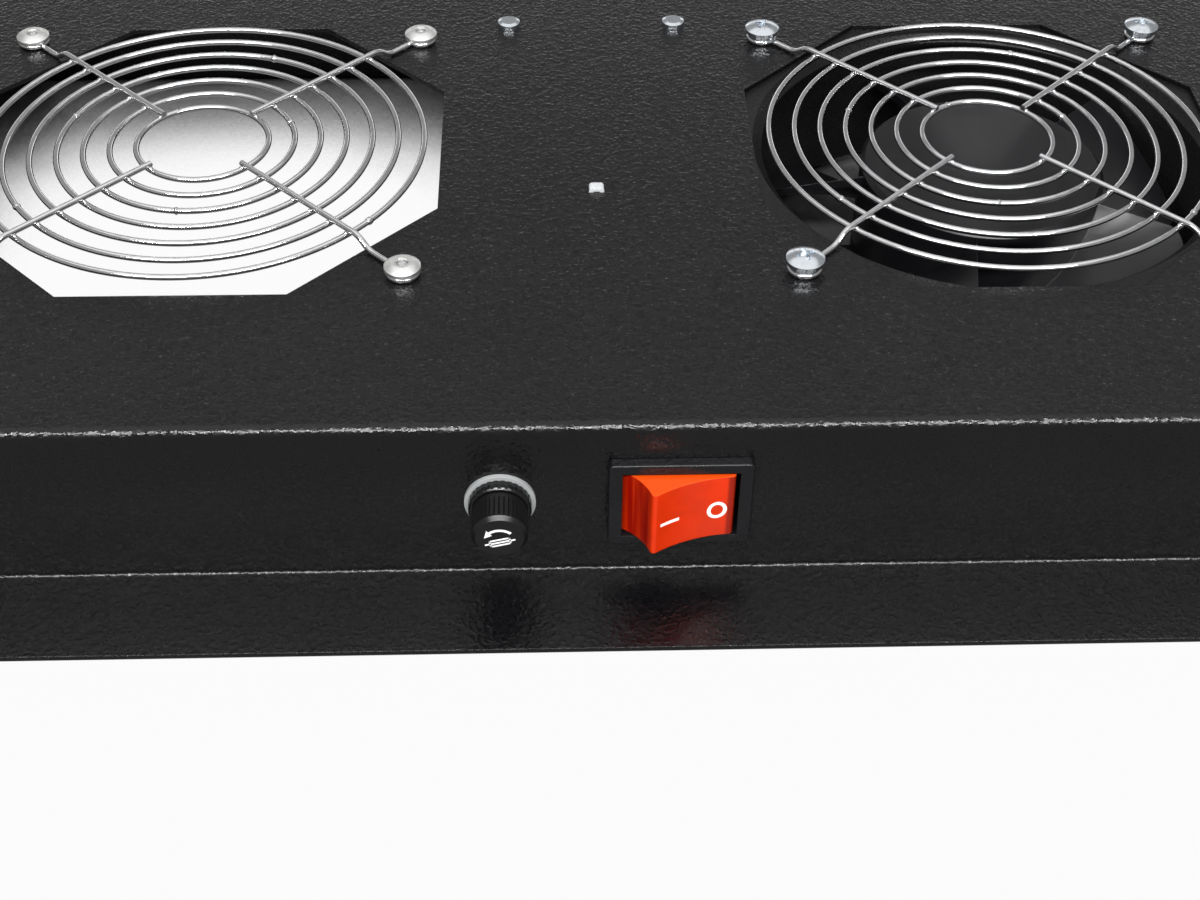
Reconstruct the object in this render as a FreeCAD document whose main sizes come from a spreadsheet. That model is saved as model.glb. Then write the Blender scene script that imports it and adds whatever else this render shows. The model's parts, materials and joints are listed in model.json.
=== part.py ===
"""Rack fan tray: a folded steel tray with two fan bays, one fan, a fuse and a lit rocker switch.

Axes: X along the front wall (right seen from the front), Y from the front wall to the rear wall, Z up.
The origin is the middle of the footprint, on the plane that the two mounting flanges stand on.
All lengths are millimetres and all angles are degrees.
"""
import FreeCAD, Part
import math
import os

import Sketcher
from FreeCAD import Placement, Rotation, Vector

# --------------------------------------------------------------------------------------
# Driving sizes: alias, value, meaning
# --------------------------------------------------------------------------------------
SIZES = (
    # folded tray
    ("tray_width", 416.0, "outer width over the two side walls"),
    ("tray_depth", 212.0, "outer depth over the front and rear walls"),
    ("tray_height", 44.0, "height of the top face over the flange undersides, one rack unit less play"),
    ("flange_depth", 24.0, "how far each mounting flange stands out from its wall"),
    ("sheet", 1.2, "thickness of the steel sheet"),
    ("bend_radius", 1.0, "inner radius of every fold"),
    ("corner_gap", 0.6, "open seam between a side wall and the walls beside it"),
    ("flange_hole_radius", 3.25, "mounting hole in a flange"),
    ("flange_hole_end", 18.0, "mounting hole centre in from the end of a flange"),
    ("flange_hole_inset", 12.5, "mounting hole centre in from the flange edge"),
    # fan bays
    ("bay_spacing", 198.0, "distance between the two bay centres"),
    ("bay_margin", 0.25, "flats of the octagonal opening in from the fan's sides"),
    ("bay_corner", 33.2, "leg of the octagon's cut corner"),
    ("hole_inset", 7.35, "four fan holes in from the fan's sides"),
    ("fan_hole_radius", 2.2, "fan hole in the tray and the fan"),
    # finger guards
    ("guard_ring_inset", 18.7, "from an eye's centre to the outermost ring, to the wire's middle"),
    ("guard_ring_pitch", 6.5, "step between neighbouring rings"),
    ("guard_ring_count", 7, "rings in each guard"),
    ("wire_thick", 1.5, "guard wire across its flats"),
    ("guard_rise", 2.0, "height of the rings' wire middle over the tray"),
    ("weld_sink", 0.15, "how far crossing wires sink into each other where they are welded"),
    ("eye_radius", 3.45, "eye round each fastener, to the wire's middle"),
    ("spoke_bend_inset", 15.3, "from an eye's centre to where its spoke starts to bend down"),
    ("spoke_ramp", 3.6, "length over which it comes down"),
    # rivets of the spare bay
    ("rivet_head_radius", 4.3, "dome of a blind rivet"),
    ("rivet_head_height", 2.0, "height of that dome"),
    ("rivet_bore_radius", 1.55, "hole left by the pulled mandrel"),
    ("rivet_tail_length", 3.6, "formed tail under the sheet"),
    ("rivet_tail_radius", 3.0, "radius of the formed tail"),
    ("rivet_play", 0.1, "radial play of a rivet in its hole"),
    ("rivet_crown", 0.7, "flat round the mandrel hole, and tail and screw end bevels"),
    ("rivet_edge", 0.9, "straight edge of the rivet dome"),
    ("seat_gap", 0.05, "gap at a seat between neighbouring pieces"),
    ("thread_fit", 0.02, "clearance between a thread and its nut"),
    # fan screws
    ("screw_radius", 2.0, "shank of an M4 screw"),
    ("screw_head_radius", 4.55, "pan head"),
    ("screw_head_height", 2.3, "pan head height"),
    ("screw_tip", 2.0, "screw end beyond its nut"),
    ("recess_across", 4.4, "cross recess across its wings"),
    ("recess_width", 1.0, "width of one wing"),
    ("recess_depth", 1.4, "depth of the cross recess"),
    ("nut_across", 7.0, "M4 nut across its flats"),
    ("nut_height", 3.2, "M4 nut height"),
    ("lock_washer_radius", 3.8, "spring washer, outer"),
    ("lock_washer_thick", 0.9, "spring washer thickness"),
    # axial fan
    ("fan_size", 119.5, "side of the square fan housing"),
    ("fan_depth", 38.0, "depth of the fan housing"),
    ("fan_corner", 5.5, "corner radius of the housing flanges"),
    ("fan_flange", 4.6, "thickness of each corner flange"),
    ("fan_web", 2.95, "least wall between the venturi bore and the fan's sides"),
    ("fan_wall", 2.4, "wall of the barrel between the flanges"),
    ("fan_lip", 2.6, "flare at both ends of the venturi"),
    ("strut_width", 4.6, "width of a motor strut"),
    ("strut_depth", 6.0, "depth of a motor strut"),
    ("hub_radius", 31.0, "outside of the impeller hub and of the motor base"),
    ("motor_base_depth", 8.0, "depth of the fixed motor base"),
    ("hub_gap", 1.2, "running gap between the motor base and the hub"),
    ("hub_wall", 1.8, "wall of the moulded impeller hub"),
    ("cup_wall", 1.4, "wall of the steel rotor cup"),
    ("cup_fit", 0.02, "press clearance between the rotor cup and the hub"),
    ("hub_top_drop", 5.0, "hub face below the fan's upper face"),
    ("blade_count", 5, "impeller blades"),
    ("tip_gap", 1.6, "gap between the blade tips and the bore"),
    ("blade_thick", 1.7, "blade thickness"),
    ("blade_chord_root", 30.0, "blade chord at the hub"),
    ("blade_chord_tip", 54.0, "blade chord at the tip"),
    ("blade_angle_root", 44.0, "blade pitch from the fan face at the hub"),
    ("blade_angle_tip", 20.0, "blade pitch from the fan face at the tip"),
    ("blade_camber", 2.6, "camber of a blade section"),
    ("blade_tip_drop", 1.0, "middle of a blade's tip below the middle of its root"),
    ("blade_corner", 6.0, "rounding of a blade's outer corners, seen along the shaft"),
    ("blade_rest", 38.5, "turn of the impeller at rest"),
    ("air_gap", 0.5, "gap between the stator and the rotor cup"),
    ("stator_height", 12.0, "height of the stator stack"),
    ("shaft_radius", 2.5, "motor shaft"),
    ("bearing_radius", 6.5, "sleeve bearing, outer"),
    ("bearing_height", 5.0, "height of one bearing"),
    ("bearing_fit", 0.02, "running fit between shaft and bearing"),
    ("clip_radius", 4.2, "retaining clip at the shaft end"),
    ("clip_thick", 0.7, "retaining clip thickness"),
    ("clip_room", 0.9, "end play round the retaining clip"),
    ("tube_wall", 1.8, "wall of the bearing tube"),
    ("tube_top_gap", 1.0, "running gap over the bearing tube"),
    ("motor_floor", 1.8, "floor of the motor base"),
    ("hub_edge", 1.2, "bevel round the hub face"),
    ("blade_overrun", 3.0, "blade loft beyond its trimmed tip"),
    # front controls
    ("control_height", 23.0, "height of the switch and fuse centres over the flange undersides"),
    ("switch_x", 15.0, "switch centre along the front wall"),
    ("fuse_x", -24.2, "fuse holder centre along the front wall"),
    ("switch_width", 29.6, "switch housing, width behind the bezel"),
    ("switch_tall", 21.6, "switch housing, height behind the bezel"),
    ("switch_deep", 19.0, "switch housing depth behind the wall face"),
    ("switch_play", 0.2, "play of the housing in its cut-out, each side"),
    ("bezel_width", 31.5, "switch bezel width"),
    ("bezel_tall", 23.6, "switch bezel height"),
    ("bezel_thick", 2.5, "bezel proud of the wall"),
    ("mouth_width", 25.4, "rocker mouth in the bezel, width"),
    ("mouth_tall", 18.6, "rocker mouth in the bezel, height"),
    ("bezel_lip", 0.6, "thickness of the bezel round the mouth"),
    ("chamber_width", 27.2, "width of the chamber behind the mouth"),
    ("chamber_depth", 12.0, "depth of the chamber behind the wall face"),
    ("pivot_depth", 2.6, "rocker pivot behind the wall face"),
    ("pivot_radius", 1.5, "rocker pivot pin"),
    ("pivot_fit", 0.06, "running fit of the pivot pins"),
    ("pivot_reach", 1.3, "how far each pin enters the housing wall"),
    ("rocker_radius", 13.3, "rocker end faces, about the pivot"),
    ("rocker_tall", 17.4, "rocker height"),
    ("rocker_ridge_angle", 47.5, "ridge of each key half from the rocker's middle"),
    ("rocker_end_angle", 95.0, "end of each curved end face from the rocker's middle"),
    ("rocker_throw", 18.7, "tilt from the middle to either side"),
    ("rocker_dish", 34.0, "radius of the hollow across the rocker's face"),
    ("bezel_round", 0.5, "rounding of the bezel's front edges"),
    ("bezel_corner", 1.3, "rounding of the bezel's four corners"),
    ("rocker_sole", 2.6, "underside of the rocker behind its pivot"),
    ("rocker_shoulder", 9.0, "half width of that underside"),
    ("rocker_stem", 1.8, "half width of the stem that works the contacts"),
    ("rocker_stem_reach", 6.0, "end of the stem behind the pivot"),
    ("rocker_round", 0.9, "rounding of the key ridges"),
    ("terminal_bevel", 1.1, "bevel at a blade's tip"),
    ("latch_hole_radius", 0.85, "latch hole of a blade"),
    ("terminal_width", 6.3, "blade terminal width"),
    ("terminal_thick", 0.8, "blade terminal thickness"),
    ("terminal_length", 9.0, "blade terminal length behind the housing"),
    ("terminal_x", 7.5, "switch blade terminals from the switch centre, across"),
    ("terminal_z", 5.0, "switch blade terminals from the switch centre, up"),
    # fuse holder
    ("fuse_barrel_radius", 6.2, "threaded barrel of the fuse holder"),
    ("fuse_hole_play", 0.2, "radial play of the barrel in the wall"),
    ("fuse_barrel_length", 24.0, "barrel behind the wall face"),
    ("fuse_bore_radius", 4.3, "bore of the holder"),
    ("fuse_bore_depth", 20.0, "bore behind the wall face"),
    ("gasket_radius", 7.8, "grey washer under the collar"),
    ("gasket_thick", 1.0, "thickness of that washer"),
    ("collar_radius", 6.9, "collar of the holder"),
    ("collar_length", 2.6, "length of that collar"),
    ("collar_edge", 0.4, "bevel round the collar's front"),
    ("collar_rib_depth", 0.15, "depth of the gap between two collar ribs"),
    ("collar_rib_count", 28, "ribs round the collar"),
    ("cap_radius", 6.1, "knurled cap"),
    ("cap_length", 7.7, "length of the cap"),
    ("cap_face_radius", 5.25, "flat end face of the cap"),
    ("cap_flute_count", 36, "flutes of the knurl"),
    ("cap_flute_depth", 0.35, "depth of one flute"),
    ("cap_gap", 0.3, "gap between the cap and the collar"),
    ("cap_flute_width", 0.32, "half width of one flute at the knurl's crest"),
    ("cap_brim", 1.1, "plain band between the knurl and the end face"),
    ("cap_skirt", 1.0, "plain skirt at the cap's root"),
    ("collar_rib_gap", 0.6, "gap between two collar ribs"),
    ("fuse_tail_radius", 3.7, "stepped rear end of the holder"),
    ("fuse_step", 3.4, "length of that rear end"),
    ("fuse_end_wall", 0.3, "wall of a fuse's metal end"),
    ("carrier_floor", 1.0, "floor of the fuse carrier"),
    ("fuse_nut_across", 15.0, "fuse holder nut across flats"),
    ("fuse_nut_height", 3.2, "fuse holder nut height"),
    ("fuse_radius", 2.6, "end cap of a 5 x 20 fuse"),
    ("fuse_length", 20.0, "fuse length"),
    ("fuse_cap_length", 5.0, "length of one fuse end cap"),
    ("carrier_radius", 4.0, "fuse carrier in the holder bore"),
    ("carrier_length", 7.0, "carrier length behind the cap's root"),
    # cable gland and wiring
    ("gland_x", 60.0, "gland centre along the rear wall"),
    ("gland_height", 22.0, "gland centre over the flange undersides"),
    ("gland_thread_radius", 7.9, "M16 gland thread"),
    ("gland_hole_play", 0.2, "radial play of the gland in its hole"),
    ("gland_bore_radius", 4.6, "cable bore"),
    ("gland_across", 19.0, "gland body and cap across flats"),
    ("gland_body_length", 5.0, "hexagon of the gland body"),
    ("gland_cap_length", 11.0, "cap nut"),
    ("gland_thread_in", 9.0, "thread inside the wall"),
    ("gland_nut_across", 22.0, "locknut across flats"),
    ("gland_nut_height", 4.0, "locknut height"),
    ("seal_radius", 6.4, "rubber seal in the cap, outer"),
    ("gland_crown", 1.6, "closed end of the cap nut"),
    ("block_inset", 46.0, "terminal block centre in from the rear wall's face"),
    ("pole_pitch", 8.0, "pitch of the terminal block's poles"),
    ("pole_count", 5, "poles of the terminal block"),
    ("block_deep", 17.0, "terminal block along the wires"),
    ("block_tall", 12.0, "terminal block height"),
    ("block_mid_tall", 8.0, "saddle between two poles"),
    ("pole_width", 6.4, "width of one pole"),
    ("block_ear", 7.0, "length of the screw ear at each end of the block"),
    ("insert_drop", 0.8, "inserts and clamp screws below the block's faces"),
    ("block_nut_height", 2.4, "M3 nut height"),
    ("block_nut_across", 5.5, "M3 nut across flats"),
    ("clamp_radius", 1.6, "clamp screw in a pole"),
    ("block_screw_radius", 1.5, "M3 screw that holds the terminal block"),
    ("screw_play", 0.2, "radial play of a screw in its hole"),
    ("insert_radius", 2.4, "brass insert in a pole"),
    ("tie_x", -0.8, "cable tie along the front wall"),
    ("tie_y", -18.85, "cable tie from the fan row, towards the front"),
    ("tie_width", 2.5, "cable tie strap width"),
    ("tie_thick", 1.1, "cable tie strap thickness"),
    ("tie_bridge", 3.7, "outside of the strap where it bridges its two slots"),
    ("tie_drop", 2.4, "depth under the sheet in which the strap spreads round the wires"),
    ("tie_span", 4.6, "room for the wires inside the tie"),
    ("tie_head", 4.4, "side of the tie's head"),
    ("slot_play", 0.4, "play of the strap in its slots"),
    ("cable_radius", 1.1, "insulated wire"),
    ("stud_inset", 18.0, "earth stud in from the rear wall's face"),
    ("stud_radius", 2.0, "earth stud"),
    ("stud_length", 11.0, "earth stud under the sheet"),
    ("stud_root", 0.8, "weld fillet at the stud's root"),
    ("stack_gap", 0.05, "gap between neighbouring wires in the tie"),
    ("receptacle_wall", 0.9, "wall of a push-on receptacle's sleeve"),
    ("receptacle_fit", 0.05, "clearance round a blade in its receptacle"),
    ("receptacle_length", 9.0, "receptacle length"),
    ("receptacle_start", 2.0, "bare blade in front of a receptacle"),
    ("bundle_join", 27.0, "where a wire from the block joins the bundle, behind the tie"),
    ("bundle_join_step", 4.0, "how much further back the outer poles' wires join"),
    ("bundle_leave", 20.0, "where a wire leaves the bundle, in front of the tie"),
    ("bundle_leave_step", 2.5, "how much sooner the lower wires leave it"),
    ("block_lead", 17.0, "straight lead of a wire out of the terminal block's front"),
    ("fuse_lead", 13.0, "straight lead of a wire out of the fuse holder's end receptacle"),
    ("link_lead", 28.0, "straight lead of the link out of the fuse holder's side receptacle"),
    ("switch_lead", 18.0, "straight lead of a wire out of a switch receptacle"),
    ("switch_lead_step", 2.0, "how much longer the last wire's lead is"),
    ("fan_loop_x", 22.0, "where the fan's neutral wire turns forward beside the fan"),
    ("fan_loop_step", 5.0, "step from there to the fan's line wire"),
    ("fan_loop_back", 6.0, "lead of the fan's neutral wire out of the block, and the step to the line's"),
    ("fan_loop_rise", 3.0, "height of those turns over the middle of their two ends"),
    ("carrier_side", 11.0, "side of the fan's terminal carrier"),
    ("carrier_tall", 19.0, "height of that carrier"),
    ("fan_terminal_low", 9.0, "lower fan blade over the fan's outlet face"),
    ("fan_terminal_step", 8.0, "step between the two fan blades"),
)


class Dim:
    """A size that carries its number and the sheet expression that gives it."""

    def __init__(self, value, text):
        self.value = float(value)
        self.text = text

    @staticmethod
    def of(other):
        return other if isinstance(other, Dim) else Dim(other, repr(float(other)))

    def __add__(self, other):
        other = Dim.of(other)
        return Dim(self.value + other.value, f"({self.text} + {other.text})")

    def __radd__(self, other):
        return Dim.of(other) + self

    def __sub__(self, other):
        other = Dim.of(other)
        return Dim(self.value - other.value, f"({self.text} - {other.text})")

    def __rsub__(self, other):
        return Dim.of(other) - self

    def __mul__(self, other):
        other = Dim.of(other)
        return Dim(self.value * other.value, f"({self.text} * {other.text})")

    def __rmul__(self, other):
        return Dim.of(other) * self

    def __truediv__(self, other):
        other = Dim.of(other)
        return Dim(self.value / other.value, f"({self.text} / {other.text})")

    def __neg__(self):
        return Dim(-self.value, f"(-1 * {self.text})")

    def __float__(self):
        return self.value


def cosd(angle):
    """Cosine of an angle in degrees, as a bound size."""
    angle = Dim.of(angle)
    return Dim(math.cos(math.radians(angle.value)), f"cos({angle.text} * 1 deg)")


def sind(angle):
    """Sine of an angle in degrees, as a bound size."""
    angle = Dim.of(angle)
    return Dim(math.sin(math.radians(angle.value)), f"sin({angle.text} * 1 deg)")


doc = FreeCAD.newDocument("RackFanTray")
sheet = doc.addObject("Spreadsheet::Sheet", "Sizes")
for row, (alias, value, meaning) in enumerate(SIZES, start=1):
    sheet.set(f"A{row}", meaning)
    sheet.set(f"B{row}", str(value))
    sheet.setAlias(f"B{row}", alias)
doc.recompute()

size = {alias: Dim(sheet.get(alias), f"Sizes.{alias}") for alias, _, _ in SIZES}
ZERO = Dim.of(0)
subparts = []


def keep(obj, label):
    """Names a finished sub-part; its label becomes its file name."""
    obj.Label = label
    subparts.append(obj)
    return obj


# --------------------------------------------------------------------------------------
# Feature helpers
# --------------------------------------------------------------------------------------
def new_body(name):
    return doc.addObject("PartDesign::Body", name)


def plane_of(body, role):
    return next(f for f in body.Origin.OriginFeatures if f.Role == role)


def new_sketch(body, name, plane, offset=ZERO):
    """A sketch on one of the body's own origin planes, moved along its normal by offset."""
    sketch = body.newObject("Sketcher::SketchObject", name)
    sketch.AttachmentSupport = [(plane_of(body, plane), "")]
    sketch.MapMode = "FlatFace"
    offset = Dim.of(offset)
    sketch.AttachmentOffset = Placement(Vector(0, 0, offset.value), Rotation())
    sketch.setExpression("AttachmentOffset.Base.z", offset.text)
    return sketch


def pin(sketch, kind, geometry, point, dim):
    """Holds one coordinate of a sketch point at a bound distance from the sketch origin."""
    dim = Dim.of(dim)
    index = sketch.addConstraint(Sketcher.Constraint(kind, -1, 1, geometry, point, dim.value))
    sketch.setExpression(f"Constraints[{index}]", dim.text)


def outline(sketch, points, arcs=None):
    """A closed outline through points; arcs maps a side's number to (radius, centre side).

    Side i runs from point i to point i + 1. Centre side is +1 where the arc's centre lies to
    the left of that direction and -1 where it lies to the right.
    """
    arcs = arcs or {}
    points = [(Dim.of(x), Dim.of(y)) for x, y in points]
    first, count = sketch.GeometryCount, len(points)
    ends = []
    for i in range(count):
        a = Vector(points[i][0].value, points[i][1].value, 0)
        b = Vector(points[(i + 1) % count][0].value, points[(i + 1) % count][1].value, 0)
        if i not in arcs:
            sketch.addGeometry(Part.LineSegment(a, b), False)
            ends.append((1, 2))
            continue
        radius, side = Dim.of(arcs[i][0]).value, arcs[i][1]
        half = (b - a).Length / 2
        normal = Vector(-(b - a).y, (b - a).x, 0).normalize() * side
        centre = (a + b) * 0.5 + normal * math.sqrt(radius**2 - half**2)
        start, end = (a, b) if side > 0 else (b, a)
        angles = [math.atan2((p - centre).y, (p - centre).x) for p in (start, end)]
        ring = Part.Circle(centre, Vector(0, 0, 1), radius)
        sketch.addGeometry(Part.ArcOfCircle(ring, angles[0], angles[1]), False)
        ends.append((1, 2) if side > 0 else (2, 1))
    for i in range(count):
        j = (i + 1) % count
        sketch.addConstraint(
            Sketcher.Constraint("Coincident", first + i, ends[i][1], first + j, ends[j][0])
        )
    for i in range(count):
        pin(sketch, "DistanceX", first + i, ends[i][0], points[i][0])
        pin(sketch, "DistanceY", first + i, ends[i][0], points[i][1])
    for i, (radius, _) in arcs.items():
        radius = Dim.of(radius)
        index = sketch.addConstraint(Sketcher.Constraint("Radius", first + i, radius.value))
        sketch.setExpression(f"Constraints[{index}]", radius.text)


def circle(sketch, x, y, radius):
    x, y, radius = Dim.of(x), Dim.of(y), Dim.of(radius)
    index = sketch.addGeometry(
        Part.Circle(Vector(x.value, y.value, 0), Vector(0, 0, 1), radius.value), False
    )
    pin(sketch, "DistanceX", index, 3, x)
    pin(sketch, "DistanceY", index, 3, y)
    constraint = sketch.addConstraint(Sketcher.Constraint("Radius", index, radius.value))
    sketch.setExpression(f"Constraints[{constraint}]", radius.text)


def box_outline(sketch, x, y, width, height):
    """A rectangle round the centre x, y."""
    x, y, width, height = Dim.of(x), Dim.of(y), Dim.of(width), Dim.of(height)
    left, right = x - width / 2, x + width / 2
    low, high = y - height / 2, y + height / 2
    outline(sketch, [(left, low), (right, low), (right, high), (left, high)])


def hexagon(sketch, x, y, across, turn=0.0):
    """A regular hexagon by its width across flats."""
    reach = Dim.of(across) / math.sqrt(3)
    corners = [
        (
            x + reach * math.cos(math.radians(60 * k + turn)),
            y + reach * math.sin(math.radians(60 * k + turn)),
        )
        for k in range(6)
    ]
    outline(sketch, corners)


def pad(body, sketch, length, middle=False, reverse=False):
    feature = body.newObject("PartDesign::Pad", f"{sketch.Name}Pad")
    feature.Profile = sketch
    length = Dim.of(length)
    feature.Length = length.value
    feature.setExpression("Length", length.text)
    if middle:
        feature.SideType = "Symmetric"
    feature.Reversed = reverse
    doc.recompute()
    return feature


def solid_volume(body):
    return body.Shape.Volume if body.Shape and not body.Shape.isNull() else 0.0


def pocket(body, sketch, depth, reverse=False, middle=False):
    """A cut that has to remove material."""
    before = solid_volume(body)
    feature = body.newObject("PartDesign::Pocket", f"{sketch.Name}Cut")
    feature.Profile = sketch
    depth = Dim.of(depth)
    feature.Length = depth.value
    feature.setExpression("Length", depth.text)
    if middle:
        feature.SideType = "Symmetric"
    feature.Reversed = reverse
    doc.recompute()
    if solid_volume(body) >= before - 1e-6:
        raise RuntimeError(f"{feature.Name} removes nothing")
    return feature


def revolve(body, sketch, axis="V_Axis"):
    feature = body.newObject("PartDesign::Revolution", f"{sketch.Name}Turn")
    feature.Profile = sketch
    feature.ReferenceAxis = (sketch, [axis])
    feature.Angle = 360
    doc.recompute()
    return feature


def groove(body, sketch, axis="V_Axis"):
    """A turned cut that has to remove material."""
    before = solid_volume(body)
    feature = body.newObject("PartDesign::Groove", f"{sketch.Name}Groove")
    feature.Profile = sketch
    feature.ReferenceAxis = (sketch, [axis])
    feature.Angle = 360
    doc.recompute()
    if solid_volume(body) >= before - 1e-6:
        raise RuntimeError(f"{feature.Name} removes nothing")
    return feature


def polar(body, features, axis, count):
    """Repeats features round one of the body's origin axes."""
    pattern = body.newObject("PartDesign::PolarPattern", f"{features[-1].Name}Polar")
    pattern.Originals = features
    pattern.Axis = (plane_of(body, axis), [""])
    pattern.Angle = 360
    pattern.Occurrences = int(Dim.of(count).value)
    body.Tip = pattern
    doc.recompute()
    return pattern


def edges_where(shape, test):
    return [f"Edge{i}" for i, edge in enumerate(shape.Edges, start=1) if test(edge)]


def fillet(body, base, radius, test):
    """Rounds the edges of base that pass the test."""
    names = edges_where(base.Shape, test)
    if not names:
        raise RuntimeError(f"no edge to round on {base.Name}")
    feature = body.newObject("PartDesign::Fillet", f"{base.Name}Round")
    feature.Base = (base, names)
    radius = Dim.of(radius)
    feature.Radius = radius.value
    feature.setExpression("Radius", radius.text)
    doc.recompute()
    return feature


def place(obj, x=ZERO, y=ZERO, z=ZERO, rotation=None):
    """Seats a finished piece, with its position bound to the sheet."""
    position = [Dim.of(v) for v in (x, y, z)]
    obj.Placement = Placement(Vector(*[v.value for v in position]), rotation or Rotation())
    for axis, dim in zip("xyz", position):
        obj.setExpression(f"Placement.Base.{axis}", dim.text)


def group(label, pattern_piece, positions, rotations=None):
    """Copies of one piece at several places, as one sub-part of separate solids."""
    rotations = rotations or [Rotation()] * len(positions)
    copies = []
    for (x, y, z), rotation in zip(positions, rotations):
        copy = pattern_piece.Shape.copy()
        where = Placement(Vector(float(x), float(y), float(z)), rotation)
        copy.Placement = where.multiply(copy.Placement)
        copies.append(copy)
    feature = doc.addObject("Part::Feature", label)
    feature.Shape = Part.makeCompound(copies)
    return keep(feature, label)


def near(a, b, tolerance=1e-4):
    return abs(a - float(b)) < tolerance


def along(edge, direction):
    """Whether a straight edge runs along a direction."""
    if edge.Curve.TypeId != "Part::GeomLine":
        return False
    return abs(abs(edge.Curve.Direction.dot(direction)) - 1) < 1e-6


X_AXIS, Y_AXIS, Z_AXIS = Vector(1, 0, 0), Vector(0, 1, 0), Vector(0, 0, 1)

# Shared places that several pieces take
half_width = size["tray_width"] / 2
half_depth = size["tray_depth"] / 2
top_z = size["tray_height"]
under_top_z = top_z - size["sheet"]
half_pitch = size["fan_size"] / 2 - size["hole_inset"]
bay_across = size["fan_size"] - 2 * size["bay_margin"]
fan_bore_radius = size["fan_size"] / 2 - size["fan_web"]
eye_place = half_pitch * math.sqrt(2)
guard_ring_radius = eye_place - size["guard_ring_inset"]
spare_bay_x = -size["bay_spacing"] / 2
fan_bay_x = size["bay_spacing"] / 2
outer_bend = size["bend_radius"] + size["sheet"]
strap_x = (size["tie_bridge"] - size["tie_thick"]) / 2
fan_barrel_radius = fan_bore_radius + size["fan_wall"]
last_pole_x = (size["pole_count"] - 1) / 2 * size["pole_pitch"]
block_screw_x = last_pole_x + size["pole_width"] / 2 + size["block_ear"] / 2
block_y = half_depth - size["block_inset"]
block_screw_places = [(side * block_screw_x, block_y) for side in (-1, 1)]
fan_bottom_z = under_top_z - size["seat_gap"] - size["fan_depth"]
under_head_z = top_z + size["wire_thick"] + 2 * size["seat_gap"]


def fan_corners(bay_x):
    """The four fan hole centres of a bay."""
    return [
        (bay_x + sx * half_pitch, sy * half_pitch) for sx in (-1, 1) for sy in (-1, 1)
    ]


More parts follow.
